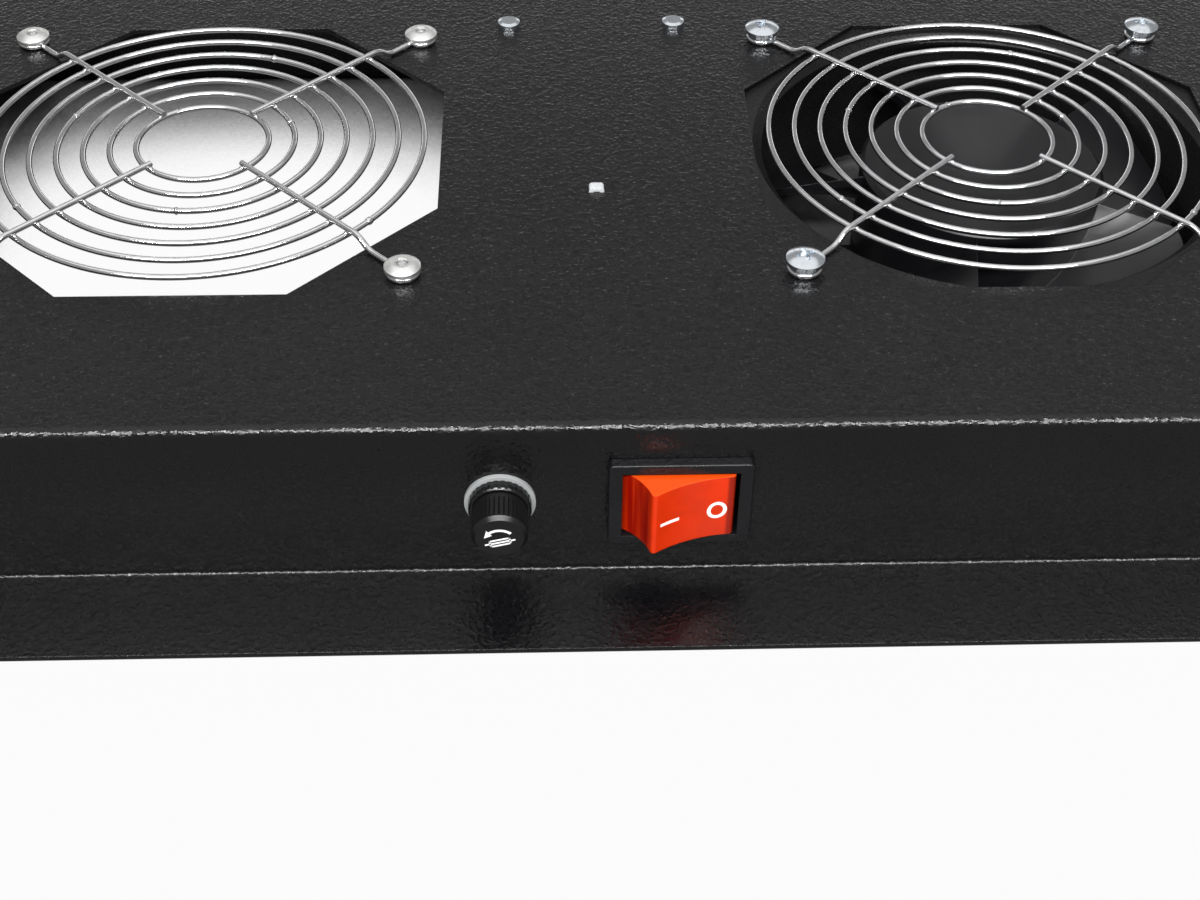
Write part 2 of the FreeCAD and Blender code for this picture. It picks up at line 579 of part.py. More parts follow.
# --------------------------------------------------------------------------------------
# Folded tray
# --------------------------------------------------------------------------------------
def make_tray_shell():
    """A hat-shaped fold across the depth, closed at both ends by a folded side wall."""
    body = new_body("TrayShell")
    reach = half_depth + size["flange_depth"]
    sheet_thick = size["sheet"]
    profile = new_sketch(body, "HatProfile", "YZ_Plane")
    left = [
        (-reach, ZERO),
        (-half_depth + sheet_thick, ZERO),
        (-half_depth + sheet_thick, under_top_z),
    ]
    right = [(-x, z) for x, z in reversed(left)]
    back = [
        (reach, sheet_thick),
        (half_depth, sheet_thick),
        (half_depth, top_z),
        (-half_depth, top_z),
        (-half_depth, sheet_thick),
        (-reach, sheet_thick),
    ]
    outline(profile, left + right + back)
    hat = pad(body, profile, size["tray_width"] - 2 * outer_bend, middle=True)

    def hat_fold(edge, inner):
        if not along(edge, X_AXIS):
            return False
        y, z = abs(edge.CenterOfMass.y), edge.CenterOfMass.z
        inside, outside = half_depth - sheet_thick, half_depth
        if inner:
            return (near(y, inside) and near(z, under_top_z)) or (near(y, outside) and near(z, sheet_thick))
        return (near(y, outside) and near(z, top_z)) or (near(y, inside) and near(z, 0))

    inner = fillet(body, hat, size["bend_radius"], lambda edge: hat_fold(edge, True))
    fillet(body, inner, outer_bend, lambda edge: hat_fold(edge, False))

    # side walls: an L-shaped strip at each end, folded down from the top
    strip_length = size["tray_depth"] - 2 * (outer_bend + size["corner_gap"])
    for side, name in ((-1, "Left"), (1, "Right")):
        strip = new_sketch(body, f"{name}Wall", "XZ_Plane")
        wall_out, wall_in = side * half_width, side * (half_width - sheet_thick)
        bend_start = side * (half_width - outer_bend)
        joined = side * (half_width - 2 * outer_bend)
        outline(
            strip,
            [
                (joined, top_z),
                (joined, under_top_z),
                (bend_start, under_top_z),
                (wall_in, under_top_z - size["bend_radius"]),
                (wall_in, ZERO),
                (wall_out, ZERO),
                (wall_out, top_z - outer_bend),
                (bend_start, top_z),
            ],
            arcs={
                2: (size["bend_radius"], -side),
                6: (outer_bend, side),
            },
        )
        pad(body, strip, strip_length, middle=True)
        web = new_sketch(body, f"{name}Web", "XZ_Plane")
        web_high = top_z - outer_bend - size["corner_gap"]
        outline(web, [(wall_in, ZERO), (wall_out, ZERO), (wall_out, web_high), (wall_in, web_high)])
        pad(body, web, size["tray_depth"] - 2 * (sheet_thick + size["corner_gap"]), middle=True)

    cuts = new_sketch(body, "BayOpenings", "XY_Plane", top_z)
    half_across, leg = bay_across / 2, size["bay_corner"]
    for bay_x in (spare_bay_x, fan_bay_x):
        corner = half_across - leg
        outline(
            cuts,
            [
                (bay_x - corner, -half_across),
                (bay_x + corner, -half_across),
                (bay_x + half_across, -corner),
                (bay_x + half_across, corner),
                (bay_x + corner, half_across),
                (bay_x - corner, half_across),
                (bay_x - half_across, corner),
                (bay_x - half_across, -corner),
            ],
        )
        for x, y in fan_corners(bay_x):
            circle(cuts, x, y, size["fan_hole_radius"])
    slot_wide = size["tie_thick"] + size["slot_play"]
    for side in (-1, 1):
        slot_long = size["tie_width"] + size["slot_play"]
        box_outline(cuts, size["tie_x"] + side * strap_x, size["tie_y"], slot_wide, slot_long)
    for x, y in block_screw_places:
        circle(cuts, x, y, size["block_screw_radius"] + size["screw_play"])
    pocket(body, cuts, sheet_thick)

    front = new_sketch(body, "FrontCutouts", "XZ_Plane", half_depth)
    cut_wide = size["switch_width"] + 2 * size["switch_play"]
    cut_tall = size["switch_tall"] + 2 * size["switch_play"]
    box_outline(front, size["switch_x"], size["control_height"], cut_wide, cut_tall)
    circle(
        front,
        size["fuse_x"],
        size["control_height"],
        size["fuse_barrel_radius"] + size["fuse_hole_play"],
    )
    pocket(body, front, sheet_thick)

    rear = new_sketch(body, "GlandHole", "XZ_Plane", -half_depth)
    circle(
        rear,
        size["gland_x"],
        size["gland_height"],
        size["gland_thread_radius"] + size["gland_hole_play"],
    )
    pocket(body, rear, sheet_thick, reverse=True)

    holes = new_sketch(body, "FlangeHoles", "XY_Plane", sheet_thick)
    hole_x, hole_y = half_width - size["flange_hole_end"], reach - size["flange_hole_inset"]
    for sx in (-1, 1):
        for sy in (-1, 1):
            circle(holes, sx * hole_x, sy * hole_y, size["flange_hole_radius"])
    pocket(body, holes, sheet_thick)
    return keep(body, "tray_shell")


make_tray_shell()


# --------------------------------------------------------------------------------------
# Wire finger guards
# --------------------------------------------------------------------------------------
def wire_section(centre, along_wire, up):
    """Hexagonal section of the guard wire, square to the wire."""
    side = along_wire.cross(up).normalize()
    reach = float(size["wire_thick"]) / math.sqrt(3)
    corners = []
    for k in range(6):
        angle = math.radians(60 * k)
        corners.append(centre + side * (reach * math.cos(angle)) + up * (reach * math.sin(angle)))
    return Part.makePolygon(corners + corners[:1])


def wire_ring(radius, height):
    """A closed ring of wire round the Z axis."""
    section = wire_section(Vector(radius, 0, height), Y_AXIS, Z_AXIS)
    return Part.Face(section).revolve(Vector(0, 0, 0), Z_AXIS, 360)


def wire_spoke():
    """A spoke from the innermost ring over all rings, then down to its eye, in the XZ plane."""
    thick = float(size["wire_thick"])
    inner = float(guard_ring_radius - size["guard_ring_pitch"] * (size["guard_ring_count"] - 1))
    high = float(size["guard_rise"] + size["wire_thick"] - size["weld_sink"])
    low = thick / 2
    eye_edge = float(eye_place) - float(size["eye_radius"])
    bend_x = float(eye_place - size["spoke_bend_inset"])
    foot_x = bend_x + float(size["spoke_ramp"])
    corners = [
        Vector(inner - thick / 2, 0, high),
        Vector(bend_x, 0, high),
        Vector(foot_x, 0, low),
        Vector(eye_edge, 0, low),
    ]
    reach = 0.42 * min((corners[2] - corners[1]).Length, (corners[3] - corners[2]).Length)
    edges, start = [], corners[0]
    for i in (1, 2):
        into = (corners[i] - corners[i - 1]).normalize()
        out = (corners[i + 1] - corners[i]).normalize()
        a, b = corners[i] - into * reach, corners[i] + out * reach
        half_turn = into.getAngle(out) / 2
        radius = reach / math.tan(half_turn)
        centre = corners[i] + (out - into).normalize() * (radius / math.cos(half_turn))
        middle = centre + (corners[i] - centre).normalize() * radius
        edges.append(Part.LineSegment(start, a).toShape())
        edges.append(Part.Arc(a, middle, b).toShape())
        start = b
    edges.append(Part.LineSegment(start, corners[3]).toShape())
    path = Part.Wire(edges)
    section = wire_section(corners[0], X_AXIS, Z_AXIS)
    return path.makePipeShell([section], True, False)


def make_finger_guards():
    """Welded rings on four spokes that end in eyes, one guard over each bay."""
    count = int(size["guard_ring_count"].value)
    rings = [
        wire_ring(float(guard_ring_radius) - k * float(size["guard_ring_pitch"]), float(size["guard_rise"]))
        for k in range(count)
    ]
    eye = wire_ring(float(size["eye_radius"]), float(size["wire_thick"]) / 2)
    eye.translate(Vector(float(eye_place), 0, 0))
    arm = wire_spoke().fuse(eye)
    arms = []
    for k in range(4):
        turned = arm.copy()
        turned.rotate(Vector(0, 0, 0), Z_AXIS, 45 + 90 * k)
        arms.append(turned)
    guard = rings[0].multiFuse(rings[1:] + arms)
    if len(guard.Solids) != 1:
        raise RuntimeError("a finger guard isn't one welded piece")
    copies = []
    for bay_x in (spare_bay_x, fan_bay_x):
        copy = guard.Solids[0].copy()
        copy.translate(Vector(float(bay_x), 0, float(top_z + size["seat_gap"])))
        copies.append(copy)
    feature = doc.addObject("Part::Feature", "FingerGuards")
    feature.Shape = Part.makeCompound(copies)
    return keep(feature, "finger_guards")


make_finger_guards()


# --------------------------------------------------------------------------------------
# Fasteners of the two bays
# --------------------------------------------------------------------------------------
def make_guard_rivets():
    """Hollow blind rivets that hold the guard of the spare bay."""
    body = new_body("Rivet")
    bore, head = size["rivet_bore_radius"], size["rivet_head_radius"]
    shank = size["fan_hole_radius"] - size["rivet_play"]
    grip = size["wire_thick"] + size["sheet"] + 3 * size["seat_gap"]
    crown = bore + size["rivet_crown"]
    profile = new_sketch(body, "RivetProfile", "XZ_Plane")
    outline(
        profile,
        [
            (bore, -grip - size["rivet_tail_length"]),
            (size["rivet_tail_radius"] - size["rivet_crown"], -grip - size["rivet_tail_length"]),
            (size["rivet_tail_radius"], -grip - size["rivet_tail_length"] * 0.35),
            (shank, -grip),
            (shank, ZERO),
            (head, ZERO),
            (head, size["rivet_edge"]),
            (crown, size["rivet_head_height"]),
            (bore, size["rivet_head_height"]),
        ],
        arcs={6: (head * 1.2, 1)},
    )
    revolve(body, profile)
    return group("guard_rivets", body, [(x, y, under_head_z) for x, y in fan_corners(spare_bay_x)])


def make_fan_screws():
    """Cross-recessed pan head screws through the guard eye, the tray and the fan flange."""
    body = new_body("PanScrew")
    head_r, head_h = size["screw_head_radius"], size["screw_head_height"]
    profile = new_sketch(body, "ScrewProfile", "XZ_Plane")
    outline(
        profile,
        [
            (ZERO, -screw_length),
            (size["screw_radius"] - size["rivet_crown"], -screw_length),
            (size["screw_radius"], -screw_length + size["rivet_crown"]),
            (size["screw_radius"], ZERO),
            (head_r, ZERO),
            (head_r, head_h * 0.45),
            (ZERO, head_h),
        ],
        arcs={5: (head_r * 2.0, 1)},
    )
    revolve(body, profile)
    recess = new_sketch(body, "CrossRecess", "XY_Plane", head_h)
    wing, half = size["recess_across"] / 2, size["recess_width"] / 2
    outline(
        recess,
        [
            (half, half),
            (half, wing),
            (-half, wing),
            (-half, half),
            (-wing, half),
            (-wing, -half),
            (-half, -half),
            (-half, -wing),
            (half, -wing),
            (half, -half),
            (wing, -half),
            (wing, half),
        ],
    )
    pocket(body, recess, size["recess_depth"])
    turns = [Rotation(Z_AXIS, angle) for angle in (18, 63, 35, 80)]
    return group("fan_screws", body, [(x, y, screw_seat_z) for x, y in fan_corners(fan_bay_x)], turns)


def make_fan_lock_washers():
    """Spring washers under the screw heads and over the nuts."""
    body = new_body("SpringWasher")
    ring = new_sketch(body, "SpringWasherRing", "XY_Plane")
    circle(ring, ZERO, ZERO, size["lock_washer_radius"])
    circle(ring, ZERO, ZERO, size["screw_radius"] + size["screw_play"])
    pad(body, ring, size["lock_washer_thick"])
    washer_z = fan_flange_under_z - size["seat_gap"] - size["lock_washer_thick"]
    places = [(x, y, z) for z in (washer_z, under_head_z) for x, y in fan_corners(fan_bay_x)]
    return group("fan_lock_washers", body, places)


def make_fan_nuts():
    body = new_body("FanNut")
    ring = new_sketch(body, "FanNutRing", "XY_Plane")
    hexagon(ring, ZERO, ZERO, size["nut_across"])
    circle(ring, ZERO, ZERO, size["screw_radius"] + size["thread_fit"])
    pad(body, ring, size["nut_height"])
    nut_z = fan_flange_under_z - 2 * size["seat_gap"] - size["lock_washer_thick"] - size["nut_height"]
    return group("fan_nuts", body, [(x, y, nut_z) for x, y in fan_corners(fan_bay_x)])


fan_flange_under_z = fan_bottom_z + size["fan_depth"] - size["fan_flange"]
screw_seat_z = under_head_z + size["lock_washer_thick"] + size["seat_gap"]
screw_length = (
    screw_seat_z
    - fan_flange_under_z
    + size["lock_washer_thick"]
    + size["nut_height"]
    + 2 * size["seat_gap"]
    + size["screw_tip"]
)
make_guard_rivets()
make_fan_screws()
make_fan_lock_washers()
make_fan_nuts()


# --------------------------------------------------------------------------------------
# Axial fan, modelled from its outlet face at z = 0 to its inlet face under the tray
# --------------------------------------------------------------------------------------
hub_low = size["motor_base_depth"] + size["hub_gap"]
hub_high = size["fan_depth"] - size["hub_top_drop"]
hub_inside = size["hub_radius"] - size["hub_wall"]
cup_outside = hub_inside - size["cup_fit"]
cup_top = hub_high - size["hub_wall"] - size["cup_fit"]
stator_radius = cup_outside - size["cup_wall"] - size["air_gap"]
tube_radius = size["bearing_radius"] + size["tube_wall"]
tube_top = cup_top - size["cup_wall"] - size["tube_top_gap"]


def make_fan_frame():
    """Square flanges, a round barrel, four struts and the motor base with its bearing tube."""
    body = new_body("FanFrame")
    half, round_off = size["fan_size"] / 2, size["fan_corner"]
    for name, level in (("Outlet", ZERO), ("Inlet", size["fan_depth"] - size["fan_flange"])):
        plate = new_sketch(body, f"{name}Flange", "XY_Plane", level)
        inner = half - round_off
        outline(
            plate,
            [
                (-inner, -half),
                (inner, -half),
                (half, -inner),
                (half, inner),
                (inner, half),
                (-inner, half),
                (-half, inner),
                (-half, -inner),
            ],
            arcs={1: (round_off, 1), 3: (round_off, 1), 5: (round_off, 1), 7: (round_off, 1)},
        )
        if name == "Outlet":
            pad(body, plate, size["fan_flange"])
            barrel = new_sketch(body, "Barrel", "XY_Plane")
            circle(barrel, ZERO, ZERO, fan_barrel_radius)
            pad(body, barrel, size["fan_depth"])
        else:
            pad(body, plate, size["fan_flange"])
    bore = new_sketch(body, "Bore", "XY_Plane", size["fan_depth"])
    circle(bore, ZERO, ZERO, fan_bore_radius)
    for sx in (-1, 1):
        for sy in (-1, 1):
            circle(bore, sx * half_pitch, sy * half_pitch, size["fan_hole_radius"])
    pocket(body, bore, size["fan_depth"])
    lips = new_sketch(body, "Flares", "XZ_Plane")
    bore_r, lip, deep = fan_bore_radius, size["fan_lip"], size["fan_depth"]
    outline(
        lips,
        [(bore_r - 1, deep - lip), (bore_r, deep - lip), (bore_r + lip, deep), (bore_r - 1, deep)],
    )
    outline(lips, [(bore_r - 1, ZERO), (bore_r + lip, ZERO), (bore_r, lip), (bore_r - 1, lip)])
    groove(body, lips)
    strut = new_sketch(body, "Struts", "XY_Plane")
    inner_end = size["hub_radius"] - size["hub_wall"] / 2
    outer_end = bore_r + lip / 2
    strut_mid = (inner_end + outer_end) / 2
    strut_long = outer_end - inner_end
    box_outline(strut, strut_mid, ZERO, strut_long, size["strut_width"])
    first = pad(body, strut, size["strut_depth"])
    polar(body, [first], "Z_Axis", 4)
    base = new_sketch(body, "MotorBase", "XZ_Plane")
    rim, floor = size["hub_radius"], size["motor_floor"]
    outline(
        base,
        [
            (ZERO, ZERO),
            (rim, ZERO),
            (rim, size["motor_base_depth"]),
            (rim - size["hub_wall"], size["motor_base_depth"]),
            (rim - size["hub_wall"], floor),
            (tube_radius, floor),
            (tube_radius, tube_top),
            (size["bearing_radius"], tube_top),
            (size["bearing_radius"], floor),
            (ZERO, floor),
        ],
    )
    revolve(body, base)
    place(body, fan_bay_x, ZERO, fan_bottom_z)
    return keep(body, "fan_frame")


def blade_section(body, name, distance, chord, angle, drop=ZERO):
    """A cambered blade section on a plane square to the blade's middle radius."""
    sketch = new_sketch(body, name, "XZ_Plane", distance)
    mid_z = (hub_low + hub_high) / 2 - drop
    across, up = cosd(angle), sind(angle)
    half, thick = chord / 2, size["blade_thick"] / 2
    camber = size["blade_camber"]
    mean = (half * half + camber * camber) / (2 * camber)
    corners = []
    for along_chord, off in ((-1, -1), (1, -1), (1, 1), (-1, 1)):
        corners.append(
            (
                along_chord * half * across - off * thick * up,
                mid_z + along_chord * half * up + off * thick * across,
            )
        )
    outline(sketch, corners, arcs={0: (mean + thick, 1), 2: (mean - thick, -1)})
    return sketch


def blade_plan(tip_radius, depth):
    """Upright prism over a blade's outline seen along the shaft, its outer corners rounded."""
    trim = float(size["blade_thick"]) / 2
    near_y, far_y = -float(hub_inside) * 0.9, -(tip_radius + float(size["blade_overrun"]))
    near_x = float(size["blade_chord_root"] / 2 * cosd(size["blade_angle_root"])) - trim
    far_x = float(size["blade_chord_tip"] / 2 * cosd(size["blade_angle_tip"])) - trim
    corners = [(-near_x, near_y), (near_x, near_y), (far_x, far_y), (-far_x, far_y)]
    face = Part.Face(Part.makePolygon([Vector(x, y, 0) for x, y in corners + corners[:1]]))
    prism = face.extrude(Vector(0, 0, depth)).common(Part.makeCylinder(tip_radius, depth)).Solids[0]
    outer = [
        edge
        for edge in prism.Edges
        if along(edge, Z_AXIS) and near(math.hypot(edge.CenterOfMass.x, edge.CenterOfMass.y), tip_radius)
    ]
    return prism.makeFillet(float(size["blade_corner"]), outer)


def make_fan_impeller():
    """Moulded hub with twisted, cambered blades, trimmed to the bore and rounded at their tips."""
    edge = size["hub_edge"]
    hub = make_turned(
        "ImpellerHub",
        None,
        [
            (hub_inside, hub_low),
            (size["hub_radius"], hub_low),
            (size["hub_radius"], hub_high - edge),
            (size["hub_radius"] - edge, hub_high),
            (ZERO, hub_high),
            (ZERO, hub_high - size["hub_wall"]),
            (hub_inside, hub_high - size["hub_wall"]),
        ],
    )
    tip_radius = fan_bore_radius - size["tip_gap"]
    blank = new_body("BladeBlank")
    root = blade_section(
        blank, "BladeRoot", hub_inside * 0.9, size["blade_chord_root"], size["blade_angle_root"]
    )
    tip = blade_section(
        blank,
        "BladeTip",
        tip_radius + size["blade_overrun"],
        size["blade_chord_tip"],
        size["blade_angle_tip"],
        size["blade_tip_drop"],
    )
    loft = blank.newObject("PartDesign::AdditiveLoft", "Blade")
    loft.Profile = root
    loft.Sections = [tip]
    loft.Ruled = True
    doc.recompute()

    depth = float(size["fan_depth"])
    plan = blade_plan(float(tip_radius), depth)
    core = Part.makeCylinder(float(size["hub_radius"] - size["hub_wall"] / 2), depth)
    blade = blank.Shape.common(plan.cut(core)).Solids[0]
    count = int(size["blade_count"].value)
    blades = []
    for index in range(count):
        turned = blade.copy()
        turned.rotate(Vector(0, 0, 0), Z_AXIS, float(size["blade_rest"]) + 360 * index / count)
        blades.append(turned)
    impeller = hub.Shape.multiFuse(blades)
    if len(impeller.Solids) != 1:
        raise RuntimeError("the impeller isn't one moulding")
    feature = doc.addObject("Part::Feature", "FanImpeller")
    feature.Shape = impeller.Solids[0]
    place(feature, fan_bay_x, ZERO, fan_bottom_z)
    return keep(feature, "fan_impeller")


def make_turned(name, label, profile_points, x=ZERO, y=ZERO, z=ZERO, rotation=None):
    """A turned piece from its half profile (radius, height)."""
    body = new_body(name)
    profile = new_sketch(body, f"{name}Profile", "XZ_Plane")
    outline(profile, profile_points)
    revolve(body, profile)
    place(body, x, y, z, rotation)
    return keep(body, label) if label else body


def ring_points(inner, outer, low, high):
    return [(inner, low), (outer, low), (outer, high), (inner, high)]


def make_fan_motor():
    """Rotor cup, shaft, bearings, stator and clip inside the hub."""
    seat = dict(x=fan_bay_x, y=ZERO, z=fan_bottom_z)
    shaft_r = size["shaft_radius"]
    wall = size["cup_wall"]
    make_turned(
        "RotorCup",
        "fan_rotor_cup",
        [
            (cup_outside - wall, hub_low + size["hub_wall"]),
            (cup_outside, hub_low + size["hub_wall"]),
            (cup_outside, cup_top),
            (shaft_r, cup_top),
            (shaft_r, cup_top - wall),
            (cup_outside - wall, cup_top - wall),
        ],
        **seat,
    )
    clip_z = size["motor_floor"] + size["clip_room"]
    shaft_low = clip_z - size["clip_thick"]
    make_turned(
        "Shaft",
        "fan_shaft",
        [
            (ZERO, shaft_low),
            (shaft_r, shaft_low),
            (shaft_r, cup_top),
            (ZERO, cup_top),
        ],
        **seat,
    )
    make_turned(
        "Clip",
        "fan_shaft_clip",
        ring_points(shaft_r, size["clip_radius"], clip_z, clip_z + size["clip_thick"]),
        **seat,
    )
    bearing = make_turned(
        "Bearing",
        None,
        ring_points(
            shaft_r + size["bearing_fit"],
            size["bearing_radius"] - size["cup_fit"],
            ZERO,
            size["bearing_height"],
        ),
    )
    low_bearing = fan_bottom_z + clip_z + size["clip_thick"] + size["clip_room"]
    high_bearing = fan_bottom_z + tube_top - size["bearing_height"]
    group("fan_bearings", bearing, [(fan_bay_x, ZERO, low_bearing), (fan_bay_x, ZERO, high_bearing)])
    stator_mid = (hub_low + cup_top) / 2
    make_turned(
        "Stator",
        "fan_stator",
        ring_points(
            tube_radius + size["cup_fit"],
            stator_radius,
            stator_mid - size["stator_height"] / 2,
            stator_mid + size["stator_height"] / 2,
        ),
        **seat,
    )


make_fan_frame()
make_fan_impeller()
make_fan_motor()


# --------------------------------------------------------------------------------------
# Rocker switch; its own frame has +Y into the tray and its origin on the wall's outer face
# --------------------------------------------------------------------------------------
def on_front(x):
    """Seat of a piece that is fitted through the front wall."""
    return dict(x=x, y=-half_depth, z=size["control_height"])


def make_switch_housing():
    """Bezel and body in one moulding, open at the front for the rocker."""
    body = new_body("SwitchHousing")
    bezel = new_sketch(body, "Bezel", "XZ_Plane", size["bezel_thick"] + size["seat_gap"])
    box_outline(bezel, ZERO, ZERO, size["bezel_width"], size["bezel_tall"])
    rim = pad(body, bezel, size["bezel_thick"], reverse=True)
    rim = fillet(body, rim, size["bezel_corner"], lambda edge: along(edge, Y_AXIS))
    front_y = -size["bezel_thick"] - size["seat_gap"]
    fillet(body, rim, size["bezel_round"], lambda edge: near(edge.CenterOfMass.y, front_y))
    box = new_sketch(body, "Box", "XZ_Plane", size["seat_gap"])
    box_outline(box, ZERO, ZERO, size["switch_width"], size["switch_tall"])
    pad(body, box, size["switch_deep"] + size["seat_gap"], reverse=True)
    mouth = new_sketch(body, "Mouth", "XZ_Plane", size["bezel_thick"] + size["seat_gap"])
    box_outline(mouth, ZERO, ZERO, size["mouth_width"], size["mouth_tall"])
    pocket(body, mouth, size["chamber_depth"] + size["bezel_thick"])
    chamber = new_sketch(body, "Chamber", "XZ_Plane", size["bezel_thick"] - size["bezel_lip"])
    box_outline(chamber, ZERO, ZERO, size["chamber_width"], size["mouth_tall"])
    pocket(body, chamber, size["chamber_depth"] + size["bezel_thick"] - size["bezel_lip"])
    pivot = new_sketch(body, "PivotHoles", "XY_Plane")
    circle(pivot, ZERO, size["pivot_depth"], size["pivot_radius"] + size["pivot_fit"])
    reach = size["rocker_tall"] / 2 + size["pivot_reach"] + size["pivot_fit"]
    pocket(body, pivot, 2 * reach, middle=True)
    place(body, **on_front(size["switch_x"]))
    return keep(body, "switch_housing")


def make_switch_rocker():
    """Two-way rocker on two pins, its left key standing out and its right key pressed in."""
    body = new_body("SwitchRocker")
    radius = size["rocker_radius"]
    ridge, end = size["rocker_ridge_angle"], size["rocker_end_angle"]
    sole, stem = size["rocker_sole"], size["rocker_stem"]
    stem_end, shoulder = size["rocker_stem_reach"], size["rocker_shoulder"]
    outline_points = [
        (-radius * sind(ridge), -radius * cosd(ridge)),
        (-radius * sind(end), -radius * cosd(end)),
        (-shoulder, sole),
        (-stem, sole),
        (-stem, stem_end),
        (stem, stem_end),
        (stem, sole),
        (shoulder, sole),
        (radius * sind(end), -radius * cosd(end)),
        (radius * sind(ridge), -radius * cosd(ridge)),
    ]
    key = new_sketch(body, "Key", "XY_Plane")
    outline(
        key, outline_points, arcs={0: (radius, 1), 8: (radius, 1), 9: (size["rocker_dish"], 1)}
    )
    block = pad(body, key, size["rocker_tall"], middle=True)
    ridge_x, ridge_y = float(radius * sind(ridge)), -float(radius * cosd(ridge))

    def ridge_edge(edge):
        middle = edge.CenterOfMass
        return along(edge, Z_AXIS) and near(abs(middle.x), ridge_x) and near(middle.y, ridge_y)

    fillet(body, block, size["rocker_round"], ridge_edge)
    pins = new_sketch(body, "Pins", "XY_Plane")
    circle(pins, ZERO, ZERO, size["pivot_radius"])
    pad(body, pins, size["rocker_tall"] + 2 * size["pivot_reach"], middle=True)
    place(
        body,
        size["switch_x"],
        -half_depth + size["pivot_depth"],
        size["control_height"],
        Rotation(Z_AXIS, float(size["rocker_throw"])),
    )
    return keep(body, "switch_rocker")


def make_blade(name):
    """A 6.3 mm blade terminal with a bevelled tip and a latch hole, standing along +Y."""
    body = new_body(name)
    wide, long = size["terminal_width"], size["terminal_length"]
    bevel = size["terminal_bevel"]
    face = new_sketch(body, f"{name}Face", "XY_Plane")
    outline(
        face,
        [
            (-wide / 2, ZERO),
            (wide / 2, ZERO),
            (wide / 2, long - bevel),
            (wide / 2 - bevel, long),
            (-wide / 2 + bevel, long),
            (-wide / 2, long - bevel),
        ],
    )
    circle(face, ZERO, long / 2, size["latch_hole_radius"])
    pad(body, face, size["terminal_thick"], middle=True)
    return body


def make_switch_terminals(blade):
    across = [size["switch_x"] + side * size["terminal_x"] for side in (-1, 1)]
    heights = [size["control_height"] + side * size["terminal_z"] for side in (-1, 1)]
    places = [(x, switch_back_y, z) for x in across for z in heights]
    return group("switch_terminals", blade, places)


switch_back_y = -half_depth + size["switch_deep"]
make_switch_housing()
make_switch_rocker()
terminal_blade = make_blade("BladeTerminal")
make_switch_terminals(terminal_blade)


# --------------------------------------------------------------------------------------
# Fuse holder; turned about an axis that runs into the tray
# --------------------------------------------------------------------------------------
INTO_TRAY = Rotation(X_AXIS, -90)
gasket_face = size["seat_gap"] + size["gasket_thick"]
collar_root = gasket_face + size["seat_gap"]
collar_face = collar_root + size["collar_length"]
cap_root = collar_face + size["cap_gap"]


def make_fuse_holder():
    """Holder body: ribbed collar, threaded barrel, stepped rear end, bored for the fuse."""
    body = new_body("FuseHolder")
    barrel, bore = size["fuse_barrel_radius"], size["fuse_bore_radius"]
    tail = size["fuse_tail_radius"]
    profile = new_sketch(body, "HolderProfile", "XZ_Plane")
    outline(
        profile,
        [
            (bore, -collar_face),
            (size["collar_radius"] - size["collar_edge"], -collar_face),
            (size["collar_radius"], -collar_face + size["collar_edge"]),
            (size["collar_radius"], -collar_root),
            (barrel, -collar_root),
            (barrel, size["fuse_barrel_length"] - size["fuse_step"]),
            (tail, size["fuse_barrel_length"] - size["fuse_step"]),
            (tail, size["fuse_barrel_length"]),
            (ZERO, size["fuse_barrel_length"]),
            (ZERO, size["fuse_bore_depth"]),
            (bore, size["fuse_bore_depth"]),
        ],
    )
    revolve(body, profile)
    rib = new_sketch(body, "CollarGroove", "XY_Plane", -collar_face)
    box_outline(rib, size["collar_radius"], ZERO, 2 * size["collar_rib_depth"], size["collar_rib_gap"])
    cut = pocket(body, rib, size["collar_length"], reverse=True)
    polar(body, [cut], "Z_Axis", size["collar_rib_count"])
    place(body, **on_front(size["fuse_x"]), rotation=INTO_TRAY)
    return keep(body, "fuse_holder_body")


def make_fuse_cap():
    """Knurled bayonet cap with a bevelled end face and a stub that closes the bore."""
    body = new_body("FuseCap")
    outer, bore = size["cap_radius"], size["fuse_bore_radius"]
    end = cap_root + size["cap_length"]
    bevel = outer - size["cap_face_radius"]
    profile = new_sketch(body, "CapProfile", "XZ_Plane")
    outline(
        profile,
        [
            (ZERO, -end),
            (size["cap_face_radius"], -end),
            (outer, -end + bevel),
            (outer, -cap_root),
            (ZERO, -cap_root),
        ],
    )
    revolve(body, profile)
    flute = new_sketch(body, "CapFlute", "XY_Plane", size["cap_brim"] - end)
    deep, wide = size["cap_flute_depth"], size["cap_flute_width"]
    outline(flute, [(outer - deep, ZERO), (outer + deep, -wide), (outer + deep, wide)])
    cut = pocket(body, flute, size["cap_length"] - size["cap_skirt"] - size["cap_brim"], reverse=True)
    polar(body, [cut], "Z_Axis", size["cap_flute_count"])
    place(body, **on_front(size["fuse_x"]), rotation=INTO_TRAY)
    return keep(body, "fuse_cap")


